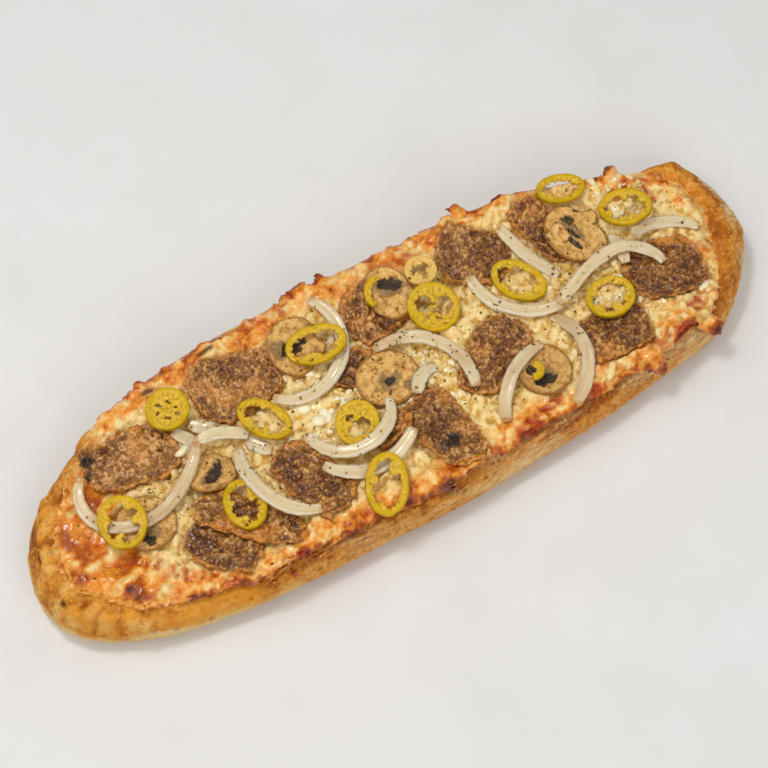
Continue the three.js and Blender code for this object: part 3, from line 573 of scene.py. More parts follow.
def makeCheese(look):
    shape, spots, links, _ = softened("cheese", look)
    reach = [np.hypot(spots[:, 0] - x - rowShift[0], spots[:, 1] - y - rowShift[1]) for x, y in tipEnds]
    tipShare = (1.0 - smooth(3.0, 9.0, np.min(reach, axis=0)))[:, None]
    spots = spots + tipShare * (eased(spots, links, 90, 0.6, -0.60) - spots)  # drops, not thorns
    writeSpots(shape, spots)
    normals = readNormals(shape)
    plan = spots[:, :2]
    top = smooth(0.0, 0.45, normals[:, 2])
    edge, _ = planEdge(spots, 1.2)
    flat = spots * [1, 1, 0.25]
    ridge, wander = leftRidges(spots)
    rim = 1.0 - smooth(4.0, 15.0, edge + 4.5 * wander)
    leftEnd = smooth(-112, -124, plan[:, 0] + 4 * wander)
    rightEnd = smooth(128, 146, plan[:, 0] + 4 * wander)
    near, luck = grains(flat, look["curdMm"], 51)
    curds = (1.0 - smooth(0.25, 0.72, near)) * smooth(0.2, 0.6, luck)
    shreds = strands(spots, look["strandMm"])
    small = bumps(spots, 1.9, 55, 2)
    uneven = 0.45 * bumps(flat, 4, 42, 2)
    milk = 0.8 * patches(plan, milkSpots, uneven)
    stray = rim * smooth(0.20, 0.50, bumps(flat, 6.0, 44, 2)) * (1 - milk)
    dome, valley = 1.0 - smooth(0.10, 0.62, ridge), smooth(0.42, 0.68, ridge)
    sauce = np.clip(patches(plan, sauceShows, uneven) + 0.85 * stray * (1 - leftEnd), 0, 1)
    sauce = sauce * (1 - 0.7 * shreds) * (1 - 0.6 * curds * (1 - leftEnd))
    sauce *= 1 - leftEnd * (1 - 0.8 * smooth(0.26, 0.56, ridge))
    blister = patches(plan, blisters, 0.3 * uneven)
    scorch = patches(plan, scorches, uneven)
    tips = np.min([np.hypot(plan[:, 0] - x - rowShift[0], plan[:, 1] - y - rowShift[1]) for x,
                   y in tipEnds], axis=0)
    tip = 1.0 - smooth(2.0, 9.0, tips + 1.5 * wander)
    feather = (1 - smooth(0.5, 9.0, edge + 2.0 * uneven)) * np.clip(leftEnd + rightEnd, 0, 1)
    dip = np.zeros(len(spots))
    thinned = feather > 0.01
    dip[thinned] = np.clip(spots[thinned, 2] - topOf("bread", plan[thinned]), 0, 4) * feather[thinned]
    calm = 1 - 0.9 * leftEnd - 0.45 * rim * (1 - leftEnd)
    lift = (look["curdLiftMm"] * (curds - 0.3) * calm
            + look["strandLiftMm"] * (shreds - 0.3) * (1 - 0.6 * leftEnd))
    lift += ((0.45 - 0.25 * leftEnd) * small + 0.8 * blister - 0.6 * sauce * (1 - curds)
             + (2.2 * leftEnd + 0.9 * rim) * (dome - 0.45))
    lift += 0.35 * bumps(flat, 14, 48)
    lift = lift * (1 - 0.5 * feather) - 0.8 * feather ** 3 + 1.2 * tipShare[:, 0]
    # nothing pokes through the meat
    lift = np.minimum(lift, roomAbove("kebab", spots) - look["underMeatMm"])
    moved = spots + normals * (lift * (0.25 + 0.75 * top))[:, None]
    moved[:, 2] -= dip
    # blunt, round ends
    moved[:, 1] -= np.sign(plan[:, 1]) * look["bluntMm"] * (1.0 - smooth(0.0, 5.5, tips))
    moved[:, :2] += normals[:, :2] * (0.6 * bumps(spots, 4.5, 49, 2) * (1 - smooth(2, 5, edge)))[:, None]
    writeSpots(shape, moved)
    # the hollows are painted browner, less milky and in juice colour: painted shade
    deep = hollows(moved, links, readNormals(shape), 5) / 0.35
    rims = KDTree(len(meatRims))
    for number, (x, y) in enumerate(meatRims):
        rims.insert((x, y, 0.0), number)
    rims.balance()
    toMeat = np.array([rims.find((x, y, 0.0))[2] for x, y in plan])
    # beside the meat: meat juice, and painted shade under the meat's edges
    juice = 1.0 - smooth(0.3, 2.8, toMeat + 1.5 * uneven)
    spotty, fate = grains(flat, 9, 91)
    large = (1 - smooth(0.06, 0.38, spotty + 0.12 * small)) * (fate > 0.5)
    spotty, fate = grains(flat, 5, 92)
    little = (1 - smooth(0.06, 0.42, spotty + 0.12 * small)) * (fate > 0.5)
    patchy = smooth(0.0, 0.50, bumps(flat, 7.0, 45, 2) + 0.2 * small + 0.15 * curds)
    border = 1 - smooth(0.5, 2.8, edge + uneven)
    roast = rim * (1 - leftEnd) * (0.04 + 0.30 * patchy + 0.28 * little + 0.40 * large)
    # on the left end: palest on the ridge crests and browner towards the valleys; browning and painted light
    # and shade both
    roast += leftEnd * (0.13 + 0.12 * smooth(0.2, 0.5, ridge) + 0.14 * valley
                        + 0.24 * valley * smooth(0.1, 0.7, wander))
    nearRim = smooth(-37, -45, plan[:, 1]) * smooth(74, 54, plan[:, 0])
    roast += (1 - leftEnd) * (0.17 * nearRim + 0.14 * smooth(33, 43, plan[:, 1]))
    roast += (blister * (0.24 + 0.26 * smooth(-0.3, 0.4, small)) + 0.34 * tip
              + 0.30 * border * (1 - leftEnd) * rim)
    roast += 0.12 * np.clip(deep, -1, 1) * np.clip(rim + leftEnd, 0, 1)
    roast *= 1.0 - 0.8 * milk
    burnt = np.clip(scorch + (1.0 - smooth(0.4, 2.2, tips + 1.2 * small)) * 0.6, 0, 1)
    paint(shape, "melt", sauce * 0.92, roast, burnt * 0.85)
    middle = 1.0 - rim
    # milk: less of it in the hollows, where the green juice colour is added too, as painted shade
    paint(shape, "milk",
          np.clip(0.7 * milk + 0.55 * shreds * (0.4 + 0.6 * middle) + 0.75 * curds * calm + 0.3 * small
                  - 0.4 * deep - 0.1, 0, 1), np.clip(juice + 0.6 * np.clip(deep, 0, 1), 0, 1),
          smooth(0.55, 1.0, feather + 0.25 * uneven))
    addPiece("meltedCheese", shape, meltedCheese(look), ["cheese"])
    print("cheese melted", len(shape.vertices))


sauceLook = {"cuts": 3, "sinkMm": 2.4, "thick": "#A8381A", "thin": "#C65C2C", "roughness": 0.3}


# cooked tomato sauce, wet and grainy: a deep red with pulp that stands up a little
def cookedTomato(look):
    made, tree = newMaterial("tomato sauce, cooked")
    place = add(tree, "TexCoord")
    pulp = add(tree, "TexNoise",
               {"Vector": (place, "Object"), "Scale": 1 / (1.8 * mm), "Detail": 3, "Roughness": 0.6})
    tone = add(tree, "ValToRGB", {"Fac": (pulp, "Fac")},
               stops=[(0.35, look["thick"]), (0.65, look["thin"])])
    relief = add(tree, "Bump", {"Height": (pulp, "Fac"), "Distance": 0.4 * mm, "Strength": 1.0})
    shader = add(tree, "BsdfPrincipled",
                 {"Base Color": (tone, "Color"), "Roughness": look["roughness"], "IOR": 1.36,
                  "Normal": (relief, "Normal")})
    add(tree, "OutputMaterial", {"Surface": (shader, "BSDF")})
    return made


def makeSauce(look):
    shape = merged("sauce", look["cuts"])
    spots, links = readSpots(shape), readLinks(shape)
    spots = eased(spots, links, 8)
    spots[:, 2] -= look["sinkMm"] * smooth(100, 132, np.abs(spots[:, 0]))  # its ends sink into the crumb
    writeSpots(shape, spots)
    addPiece("tomatoSauce", shape, cookedTomato(look), ["sauce"])
    print("sauce spread", len(shape.vertices))


kebabLook = {
    "voxelMm": 0.52,
    "easeRounds": 30,      # rounds of smoothing that take the facets out
    "grainMm": 1.4,        # minced meat grain
    "grainLiftMm": 0.65,
    "lumpMm": 3.0,         # lumps of the pressed meat
    "lumpLiftMm": 1.0,
    "wrinkleMm": 0.5,      # wrinkles of the skin of the slice
    "waveMm": 0.8,         # soft waves of the whole slice
    "raggedMm": 1.2,
    "dark": "#582606",
    "shade": "#84501C",
    "meat": "#A46C2E",
    "light": "#E2AA64",
    "crisp": "#E2902E",
    "crispDark": "#93480A",
    "char": "#1E0E04",
    "fat": "#F4C884",
    "roughness": 0.34,
}
# tone: lighter or darker than the mean; fold: ovals with a smooth orange-brown fold; char: dark ovals
kebabTones = {
    "kebab_01": {"tone": -0.10}, "kebab_02": {"tone": 0.0, "fold": [(-88, -28, 17, 5.0, -33)]},
    "kebab_03": {"tone": 0.36, "char": [(-123.5, 27, 4.0, 3.0, -35), (-126, 22, 3, 1.6, 0)]},
    "kebab_04": {"tone": 0.14}, "kebab_05": {"tone": 0.05, "fold": [(20, 22, 8, 3, 30)]},
    "kebab_06": {"tone": -0.35}, "kebab_07": {"tone": 0.0}, "kebab_08": {"tone": -0.1},
    "kebab_09": {"tone": 0.05}, "kebab_10": {"tone": -0.12, "char": [(4, -39, 5, 4, -30)],
                                             "fold": [(-7, -42, 2.0, 8, 10), (3, -50, 8, 2.0, -10)]},
    "kebab_11": {"tone": -0.2}, "kebab_12": {"tone": -0.05}, "kebab_13": {"tone": -0.05},
    "kebab_14": {"tone": -0.14, "fold": [(128, -8, 12, 3.0, -35)]},
}


# doner meat, minced, pressed, grilled and sliced: coarse brown grain, orange crisp edges, beads of fat that
# are also painted glints, and painted light and shade on its relief
def grilledMeat(look):
    made, tree = newMaterial("doner meat, grilled and sliced")
    place = add(tree, "TexCoord")
    masks = add(tree, "SeparateColor", {"Color": (add(tree, "Attribute", attribute_name="grill"), "Color")})
    more = add(tree, "SeparateColor", {"Color": (add(tree, "Attribute", attribute_name="tone"), "Color")})
    fibre = add(tree, "TexNoise",
                {"Vector": (place, "Object"), "Scale": 1 / (3.0 * mm), "Detail": 6, "Roughness": 0.68})
    level = add(tree, "Math", {0: (fibre, "Fac"), 1: (more, "Red")}, operation="ADD")
    level = add(tree, "Math", {0: (level, "Value"), 1: -0.5}, operation="ADD")
    base = add(tree, "ValToRGB", {"Fac": (level, "Value")},
               stops=[(0.22, look["dark"]), (0.42, look["shade"]), (0.58, look["meat"]),
                      (0.80, look["light"])])
    edgeNoise = add(tree, "TexNoise",
                    {"Vector": (place, "Object"), "Scale": 1 / (1.8 * mm), "Detail": 4, "Roughness": 0.65})
    crisp = add(tree, "ValToRGB", {"Fac": (edgeNoise, "Fac")},
                stops=[(0.38, look["crispDark"]), (0.54, look["crisp"])])
    base = add(tree, "Mix", {0: (masks, "Red"), 6: (base, "Color"), 7: (crisp, "Color")}, data_type="RGBA")
    # pale beads: fat, and painted glints
    beads = add(tree, "TexNoise",
                {"Vector": (place, "Object"), "Scale": 1 / (0.9 * mm), "Detail": 3, "Roughness": 0.6})
    bead = add(tree, "MapRange",
               {"Value": (beads, "Fac"), "From Min": 0.60, "From Max": 0.69, "To Max": 0.65},
               interpolation_type="SMOOTHSTEP")
    base = add(tree, "Mix", {0: (bead, "Result"), 6: (base, 2), 7: look["fat"]}, data_type="RGBA")
    base = add(tree, "Mix", {0: (masks, "Blue"), 6: (base, 2), 7: look["char"]}, data_type="RGBA")
    gloss = add(tree, "MapRange", {"Value": (edgeNoise, "Fac"), "From Min": 0.40, "From Max": 0.60,
                                   "To Min": look["roughness"] - 0.20, "To Max": look["roughness"] + 0.24})
    fine = add(tree, "TexNoise",
               {"Vector": (place, "Object"), "Scale": 1 / (1.0 * mm), "Detail": 4, "Roughness": 0.75})
    relief = add(tree, "Bump", {"Height": (fine, "Fac"), "Distance": 0.6 * mm, "Strength": 1.0})
    shader = add(tree, "BsdfPrincipled",
                 {"Base Color": (base, 2), "Roughness": (gloss, "Result"), "IOR": 1.4,
                  "Specular IOR Level": 0.3, "Subsurface Weight": 0.05,
                  "Subsurface Radius": (1.0, 0.5, 0.3), "Subsurface Scale": 0.001, "Coat Weight": 0.45,
                  "Coat Roughness": 0.14, "Normal": (relief, "Normal")})
    add(tree, "OutputMaterial", {"Surface": (shader, "BSDF")})
    return made


def makeKebab(look):
    surface = grilledMeat(look)
    total = 0
    for number, node in enumerate(nodesOf("kebab")):
        own = kebabTones[node]
        shape, spots, links, normals = softened(node, look)
        plan = spots[:, :2]
        edge, border = planEdge(spots, 0.8)
        meatRims.extend(border.tolist())
        wander = bumps(spots, 3.0, 120 + number, 2)
        rimShare = 1.0 - smooth(0.3, 1.7, edge + 0.9 * wander)
        fold = patches(plan, own["fold"], 0.3 * wander) if "fold" in own else np.zeros(len(spots))
        char = patches(plan, own["char"], 0.5 * wander) if "char" in own else np.zeros(len(spots))
        uneven = 1 + 0.5 * bumps(spots, 5.0, 135 + number)
        fat, heft = grains(spots + 0.9 * np.stack([wander, -wander, wander], axis=1), look["lumpMm"], 125
                           + number)
        lump = (1.0 - smooth(0.10, 0.85, fat)) * (0.5 + 0.5 * heft)
        near, luck = grains(spots * uneven[:, None], look["grainMm"], 130 + number)
        lumps = (1.0 - smooth(0.10, 0.80, near)) * (0.2 + 0.8 * luck)
        pits, fate = grains(spots, 4.5, 150 + number)
        hole = (1.0 - smooth(0.06, 0.24, pits + 0.06 * wander)) * (fate > 0.55)
        wave = bumps(spots, 9, 160 + number, 2)
        wrinkle = 1 - 2 * np.abs(bumps(spots, 3.4, 165 + number, 2))
        rough = 1.0 - 0.7 * fold
        lift = rough * look["grainLiftMm"] * (lumps - 0.4) + rough * 0.26 * bumps(spots, 1.0, 140 + number)
        lift += (rough * look["lumpLiftMm"] * (lump - 0.45) + look["waveMm"] * wave
                 + rough * look["wrinkleMm"] * (wrinkle - 0.3) - 0.7 * hole * rough)
        lift += 0.45 * rimShare - 0.35
        side = np.clip(1.0 - np.abs(normals[:, 2]), 0, 1)
        out = normals.copy()
        out[:, 2] = 0
        ragged = look["raggedMm"] * (0.8 * bumps(spots, 4.5, 170 + number)
                                     + 0.6 * bumps(spots, 1.8, 180 + number))
        writeSpots(shape, spots + normals * lift[:, None] + out * (ragged * side)[:, None])
        crisp = np.clip(rimShare * (0.9 + 0.5 * wander) + 0.9 * fold + 0.5 * smooth(0.25, 0.8, wave), 0, 1)
        blotch = bumps(spots, 5, 190 + number, 2)
        # tone: the slice's own tone and random blotches, plus painted light where grains, lumps, wrinkles and
        # waves stand up, and painted shade in pits and hollows
        tone = 0.49 + 0.24 * own["tone"] + 0.14 * (lumps - 0.3) + 0.22 * (lump - 0.4) + 0.16 * wave
        tone += 0.12 * blotch + 0.06 * wrinkle - 0.2 * hole
        deep = np.clip(hollows(readSpots(shape), links, readNormals(shape), 5) / 0.4, -1, 1)
        tone -= 0.20 * deep
        # the blue mask: char ovals, and painted shade in the pits
        paint(shape, "grill", crisp * 0.85, 0.0, np.clip(0.95 * char + 0.5 * hole, 0, 1))
        paint(shape, "tone", tone)
        addPiece("kebabSlice" + node[-2:], shape, surface, [node])
        total += len(shape.vertices)
    print("kebab sliced", total)


mushroomLook = {
    "voxelMm": 0.4,
    "easeRounds": 22,      # rounds of smoothing that take the facets out
    "flesh": "#DEAA5A",
    "fleshLight": "#ECC27A",
    "fleshDark": "#9C6622",
    "skin": "#A06A28",
    "gill": "#1A120C",
    "gillPale": "#8A6A44",
    "roughness": 0.48,
}
# dark gills as ovals, paler gills as ovals, in measured plan places
mushroomGills = {
    "mushroom_01": {"dark": [(-118.2, -11.8, 2.2, 4.5, 20)], "pale": [(-117, -9, 4, 6, 10)]},
    "mushroom_02": {"dark": [(-83.7, -2.0, 6.4, 2.3, 38)], "pale": [(-83.7, -2.0, 7.5, 3.4, 38)]},
    "mushroom_03": {"dark": [(-29, 29, 6, 3, 10)], "pale": [(-35, 30, 4, 5, 0)]},
    "mushroom_04": {"dark": [(-3.7, -3.6, 2.4, 2.0, 0)],
                    "pale": [(-3.9, -3.4, 5.0, 4.4, 0), (2.4, -8.6, 3.6, 3.0, -30)]},
    "mushroom_05": {"dark": [(18.5, 32.4, 5.0, 3.0, -25)], "pale": [(17, 30, 6.5, 4.6, -25)]},
    "mushroom_06": {"dark": [(96.8, 20, 2.0, 2.6, 40), (102, 22.5, 1.8, 1.6, 0), (93.6, 9.6, 1.6, 3.4, 25),
                             (95.4, 14, 1.2, 3.4, 25)], "pale": [(96, 15, 2.6, 7.5, 22)]},
    "mushroom_07": {"dark": [(49.0, -35.3, 4.4, 2.4, -12), (46.2, -29.5, 2.2, 2.6, 0)],
                    "pale": [(49.5, -34, 5.6, 3.8, 0)], "dry": 0.25},
}


# button mushroom, sliced and baked: tan flesh that dries darker, a thin brown skin, dark radial gills, and
# painted shade in the hollows
def bakedMushroom(look):
    made, tree = newMaterial("button mushroom, baked")
    place = add(tree, "TexCoord")
    masks = add(tree, "SeparateColor", {"Color": (add(tree, "Attribute", attribute_name="cut"), "Color")})
    cloud = add(tree, "TexNoise",
                {"Vector": (place, "Object"), "Scale": 1 / (2.8 * mm), "Detail": 6, "Roughness": 0.7})
    base = add(tree, "ValToRGB", {"Fac": (cloud, "Fac")},
               stops=[(0.36, look["fleshDark"]), (0.50, look["flesh"]), (0.64, look["fleshLight"])])
    base = add(tree, "Mix", {0: (masks, "Red"), 6: (base, "Color"), 7: look["skin"]}, data_type="RGBA")
    base = add(tree, "Mix", {0: (masks, "Green"), 6: (base, 2), 7: look["gillPale"]}, data_type="RGBA")
    base = add(tree, "Mix", {0: (masks, "Blue"), 6: (base, 2), 7: look["gill"]}, data_type="RGBA")
    fine = add(tree, "TexNoise",
               {"Vector": (place, "Object"), "Scale": 1 / (0.9 * mm), "Detail": 3, "Roughness": 0.6})
    relief = add(tree, "Bump", {"Height": (fine, "Fac"), "Distance": 0.4 * mm, "Strength": 1.0})
    shader = add(tree, "BsdfPrincipled",
                 {"Base Color": (base, 2), "Roughness": look["roughness"], "IOR": 1.4,
                  "Subsurface Weight": 0.15, "Subsurface Radius": (1.0, 0.6, 0.3),
                  "Subsurface Scale": 0.0015, "Normal": (relief, "Normal")})
    add(tree, "OutputMaterial", {"Surface": (shader, "BSDF")})
    return made


def makeMushrooms(look):
    surface = bakedMushroom(look)
    total = 0
    for number, node in enumerate(nodesOf("mushroom")):
        own = mushroomGills[node]
        shape, spots, links, normals = softened(node, look)
        plan = spots[:, :2]
        edge, _ = planEdge(spots, 0.7)
        wander = bumps(spots, 2.5, 220 + number, 2)
        upper = smooth(0.1, 0.7, normals[:, 2])
        ragged = wander + 0.7 * bumps(spots, 1.3, 225 + number)
        dark = smooth(0.25, 0.65, patches(plan, own["dark"], 0.32 * ragged))
        pale = patches(plan, own["pale"], 0.5 * wander)
        x, y = own["dark"][0][:2] + rowShift
        angle = np.arctan2(plan[:, 1] - y, plan[:, 0] - x)
        ribs = np.sin(angle * 21 + 2.6 * wander)
        skin = (1.0 - smooth(0.5, 1.2, edge + 0.2 * wander)) * 0.9
        lift = 0.18 * bumps(spots, 3.5, 230 + number, 2) - upper * (0.75 * dark + 0.3 * pale)
        lift += (upper * pale * 0.16 * ribs + 0.34 * upper * (1 - smooth(0.6, 2.2, edge))
                 - 0.35 * upper * smooth(1, 5, edge))
        lift += 0.12 * bumps(spots, 1.3, 240 + number)
        writeSpots(shape, spots + normals * lift[:, None])
        gillDark = np.clip(dark * (0.9 + 0.1 * ribs) + 0.35 * pale * smooth(0.1, 0.9, ribs + 0.9 * ragged),
                           0, 1)
        # the skin's brown is also painted into the hollows: painted shade
        deep = np.clip(hollows(readSpots(shape), links, readNormals(shape), 5) / 0.12, 0, 1)
        paint(shape, "cut", np.clip(skin + 0.35 * deep + own.get("dry", 0.0), 0, 1), upper * pale * 0.75,
              upper * gillDark)
        addPiece("mushroomSlice" + node[-2:], shape, surface, [node])
        total += len(shape.vertices)
    print("mushrooms sliced", total)


onionLook = {
    "voxelMm": 0.44,
    "easeRounds": 22,      # rounds of smoothing that take the facets out
    "widen": -0.04,        # share that a strip is wider than its solid
    "flatten": 0.36,
    "dishMm": 0.35,        # how far the top sinks between the two edges
    "veinMm": 1.1,         # spacing of the lengthwise veins
    "flesh": "#EBD09A",
    "light": "#FBEAC6",
    # rim: colour of the painted highlight along the edges
    "rim": "#FFF8E4",
    "amber": "#C48C34",
    "roughness": 0.24,
}
# share of amber where a strip has dried or lets the meat below shine through
onionWarmth = {"onion_01": 0.35, "onion_07": 0.25, "onion_11": 0.35, "onion_12": 0.25}


# white onion, cut and baked: milky and half clear, faint lengthwise veins, amber where thin, wet gloss, and a
# painted highlight along both edges of the top
def bakedOnion(look):
    made, tree = newMaterial("white onion, cut and baked")
    run = add(tree, "Attribute", attribute_name="run")
    masks = add(tree, "SeparateColor", {"Color": (add(tree, "Attribute", attribute_name="thin"), "Color")})
    stretched = add(tree, "VectorMath", {0: (run, "Vector"), 1: (0.06, 1.0, 0.6)}, operation="MULTIPLY")
    veins = add(tree, "TexNoise",
                {"Vector": (stretched, "Vector"), "Scale": 1.0 / look["veinMm"], "Detail": 3.0})
    broad = add(tree, "TexNoise", {"Vector": (run, "Vector"), "Scale": 0.22, "Detail": 4.0})
    base = add(tree, "ValToRGB", {"Fac": (veins, "Fac")},
               stops=[(0.22, look["flesh"]), (0.70, look["light"])])
    cloudy = add(tree, "MapRange",
                 {"Value": (broad, "Fac"), "From Min": 0.48, "From Max": 0.75, "To Max": 0.4},
                 interpolation_type="SMOOTHSTEP")
    base = add(tree, "Mix", {0: (cloudy, "Result"), 6: (base, "Color"), 7: look["flesh"]}, data_type="RGBA")
    # painted highlight along the edges
    base = add(tree, "Mix", {0: (masks, "Green"), 6: (base, 2), 7: look["rim"]}, data_type="RGBA")
    base = add(tree, "Mix", {0: (masks, "Red"), 6: (base, 2), 7: look["amber"]}, data_type="RGBA")
    relief = add(tree, "Bump", {"Height": (veins, "Fac"), "Distance": 0.05 * mm, "Strength": 1.0})
    shader = add(tree, "BsdfPrincipled",
                 {"Base Color": (base, 2), "Roughness": look["roughness"], "IOR": 1.38,
                  "Specular IOR Level": 0.4, "Subsurface Weight": 0.35,
                  "Subsurface Radius": (1.0, 0.8, 0.5), "Subsurface Scale": 0.0022,
                  "Transmission Weight": 0.25, "Coat Weight": 0.2, "Coat Roughness": 0.08,
                  "Normal": (relief, "Normal")})
    add(tree, "OutputMaterial", {"Surface": (shader, "BSDF")})
    return made


# the middle line of a strip: its points lie in the middle of equal steps from one end to the other
def middleLine(spots, links, count=26):
    neighbours = [[] for _ in spots]
    lengths = np.linalg.norm(spots[links[:, 0]] - spots[links[:, 1]], axis=1)
    for (a, b), length in zip(links.tolist(), lengths.tolist()):
        neighbours[a].append((b, length))
        neighbours[b].append((a, length))

    def spread(start):
        reach = [1e9] * len(spots)
        reach[start] = 0.0
        queue = [start]
        while queue:
            following = []
            for place in queue:
                for other, length in neighbours[place]:
                    if reach[place] + length < reach[other] - 1e-6:
                        reach[other] = reach[place] + length
                        following.append(other)
            queue = following
        return np.array(reach)

    first = int(np.argmax(spread(0)))
    reach = spread(first)
    share = np.clip((reach / reach.max() * count).astype(int), 0, count - 1)
    line = np.array([spots[share == k].mean(axis=0) for k in range(count)])
    for step in range(2):
        line[1:-1] = 0.5 * line[1:-1] + 0.25 * (line[:-2] + line[2:])
    return line


# for each point: how far along the line, how far across it in plan and above it, and which way across lies
def alongLine(spots, line):
    step = np.diff(line, axis=0)
    length = np.linalg.norm(step, axis=1)
    start = np.concatenate([[0], np.cumsum(length)[:-1]])
    best = np.full(len(spots), 1e9)
    out = np.zeros((len(spots), 3))
    across = np.zeros((len(spots), 3))
    for k in range(len(step)):
        direction = step[k] / length[k]
        away = spots - line[k]
        reach = np.clip(away @ direction, 0 if k else -9, length[k] if k < len(step) - 1 else length[k] + 9)
        gap = away - reach[:, None] * direction
        size = np.linalg.norm(gap, axis=1)
        closer = size < best
        best = np.where(closer, size, best)
        sideways = np.array([-direction[1], direction[0], 0.0])
        sideways /= np.linalg.norm(sideways)
        out[closer] = np.stack([start[k] + reach, gap @ sideways, gap[:, 2]], axis=1)[closer]
        across[closer] = sideways
    return out, across, start[-1] + length[-1]


def makeOnions(look):
    surface = bakedOnion(look)
    total = 0
    for number, node in enumerate(nodesOf("onion")):
        shape, spots, links, _ = softened(node, look)
        run, across, whole = alongLine(spots, middleLine(spots, links))
        along = run[:, 0].copy()
        spots += across * (run[:, 1] * look["widen"])[:, None]
        spots[:, 2] -= run[:, 2] * look["flatten"] + 0.1
        writeSpots(shape, spots)
        normals = readNormals(shape)
        run[:, 0] += 40 * number
        sideShare = np.abs(run[:, 1]) / np.percentile(np.abs(run[:, 1]), 96)
        upper = smooth(0.3, 0.8, normals[:, 2])
        lengthwise = run * [0.07, 1, 1]
        lift = 0.05 * bumps(lengthwise, 1.6, 300 + number) + 0.12 * bumps(spots, 6, 320 + number)
        lift -= look["dishMm"] * upper * (1 - smooth(0.15, 0.85, sideShare))
        lift += (1 - upper) * 0.25 * bumps(spots, 7, 330 + number)
        writeSpots(shape, spots + normals * lift[:, None])
        ends = 1 - smooth(0.4, 2.0, np.minimum(along, whole - along))
        warm = onionWarmth.get(node, 0.08)
        chart(shape, "run", run)
        # a pale line along both edges of the top: painted highlight
        line = smooth(0.66, 0.84, sideShare) * (1 - smooth(0.92, 1.04, sideShare)) * upper
        paint(shape, "thin", np.clip(0.5 * ends + warm * (0.7 + 0.6 * bumps(spots, 6, 340 + number)), 0, 1),
              0.75 * line)
        addPiece("onionStrip" + node[-2:], shape, surface, [node])
        total += len(shape.vertices)
    print("onions laid", total)


pepperLook = {
    "stations": 110,
    "section": 20,
    "voxelMm": 0.38,
    "thicken": -0.7,       # how much more wall the cut face shows towards the middle, in mm
    "skin": "#CEA600",
    "skinGreen": "#A48200",
    "flesh": "#D8AE14",
    "membrane": "#E8C04C",
    "cheese": "#EBC070",
    "hollowShade": "#7A5408",
    "roughness": 0.2,
}
# lobes: (angle as seen, share of the opening that the membrane crosses, half width in degrees); pale:
# share of pale
# flesh; slits: openings in a filled ring as seen, (right, up, half length, half width, turn), in mm
pepperLobes = {
    "pepper_01": {"lobes": [(175, 0.30, 18), (10, 0.42, 14), (265, 0.35, 16), (75, 0.25, 22)], "pale": 0.05},
    "pepper_02": {"lobes": [], "pale": 0.15, "slits": [(-3.6, 1.4, 1.3, 0.7, -30), (3.2, 1.6, 1.2, 0.6, 50),
                  (-3.4, -2.2, 1.2, 0.7, 40), (3.8, -1.6, 1.2, 0.6, -20), (0.2, -4.0, 1.2, 0.6, 10),
                  (0, 3.9, 1.0, 0.5, 0)]},
    "pepper_03": {"lobes": [(60, 0.5, 24), (180, 0.25, 14), (275, 0.32, 22), (340, 0.2, 12)], "pale": 0.15},
    "pepper_04": {"lobes": [(200, 0.22, 18), (280, 0.34, 20), (20, 0.2, 14), (100, 0.2, 14)], "pale": 0.15},
    "pepper_05": {"lobes": [(265, 0.40, 35), (90, 0.2, 16), (0, 0.2, 12)], "pale": 0.1},
    "pepper_06": {"lobes": [], "pale": 0.45, "slits": [(0.8, -1.4, 4.6, 3.4, 20), (-3.4, 2.8, 1.4, 1.0, 30)]},
    "pepper_07": {"lobes": [(165, 0.32, 18), (60, 0.5, 20), (250, 0.2, 14)], "pale": 0.1},
    "pepper_08": {"lobes": [], "pale": 0.25, "slits": [(-4.2, 0.8, 3.3, 3.0, 60), (4.4, 1.4, 3.5, 3.0, 80),
                  (-1.9, -3.4, 0.9, 0.5, 0), (2.2, -3.0, 0.9, 0.5, 0), (0.2, -5.4, 0.7, 0.4, 0)]},
    "pepper_09": {"lobes": [(0, 0.4, 40), (120, 0.3, 40), (240, 0.5, 40)], "pale": 0.4, "coated": 0.85},
    "pepper_10": {"lobes": [(300, 0.24, 16), (340, 0.3, 16), (120, 0.15, 14), (200, 0.15, 14)], "pale": 0.12},
    "pepper_11": {"lobes": [(350, 0.28, 24), (300, 0.36, 22), (230, 0.25, 16), (160, 0.15, 16)], "pale": 0.3},
    "pepper_12": {"lobes": [(30, 0.15, 16), (220, 0.15, 20)], "pale": 0.0},
    "pepper_13": {"lobes": [], "pale": 0.15},
    "pepper_14": {"lobes": [], "pale": 0.15},
    "pepper_15": {"lobes": [(95, 0.36, 12), (200, 0.25, 16), (300, 0.35, 14), (265, 0.25, 14), (20, 0.2, 12)],
                  "pale": 0.05},
}
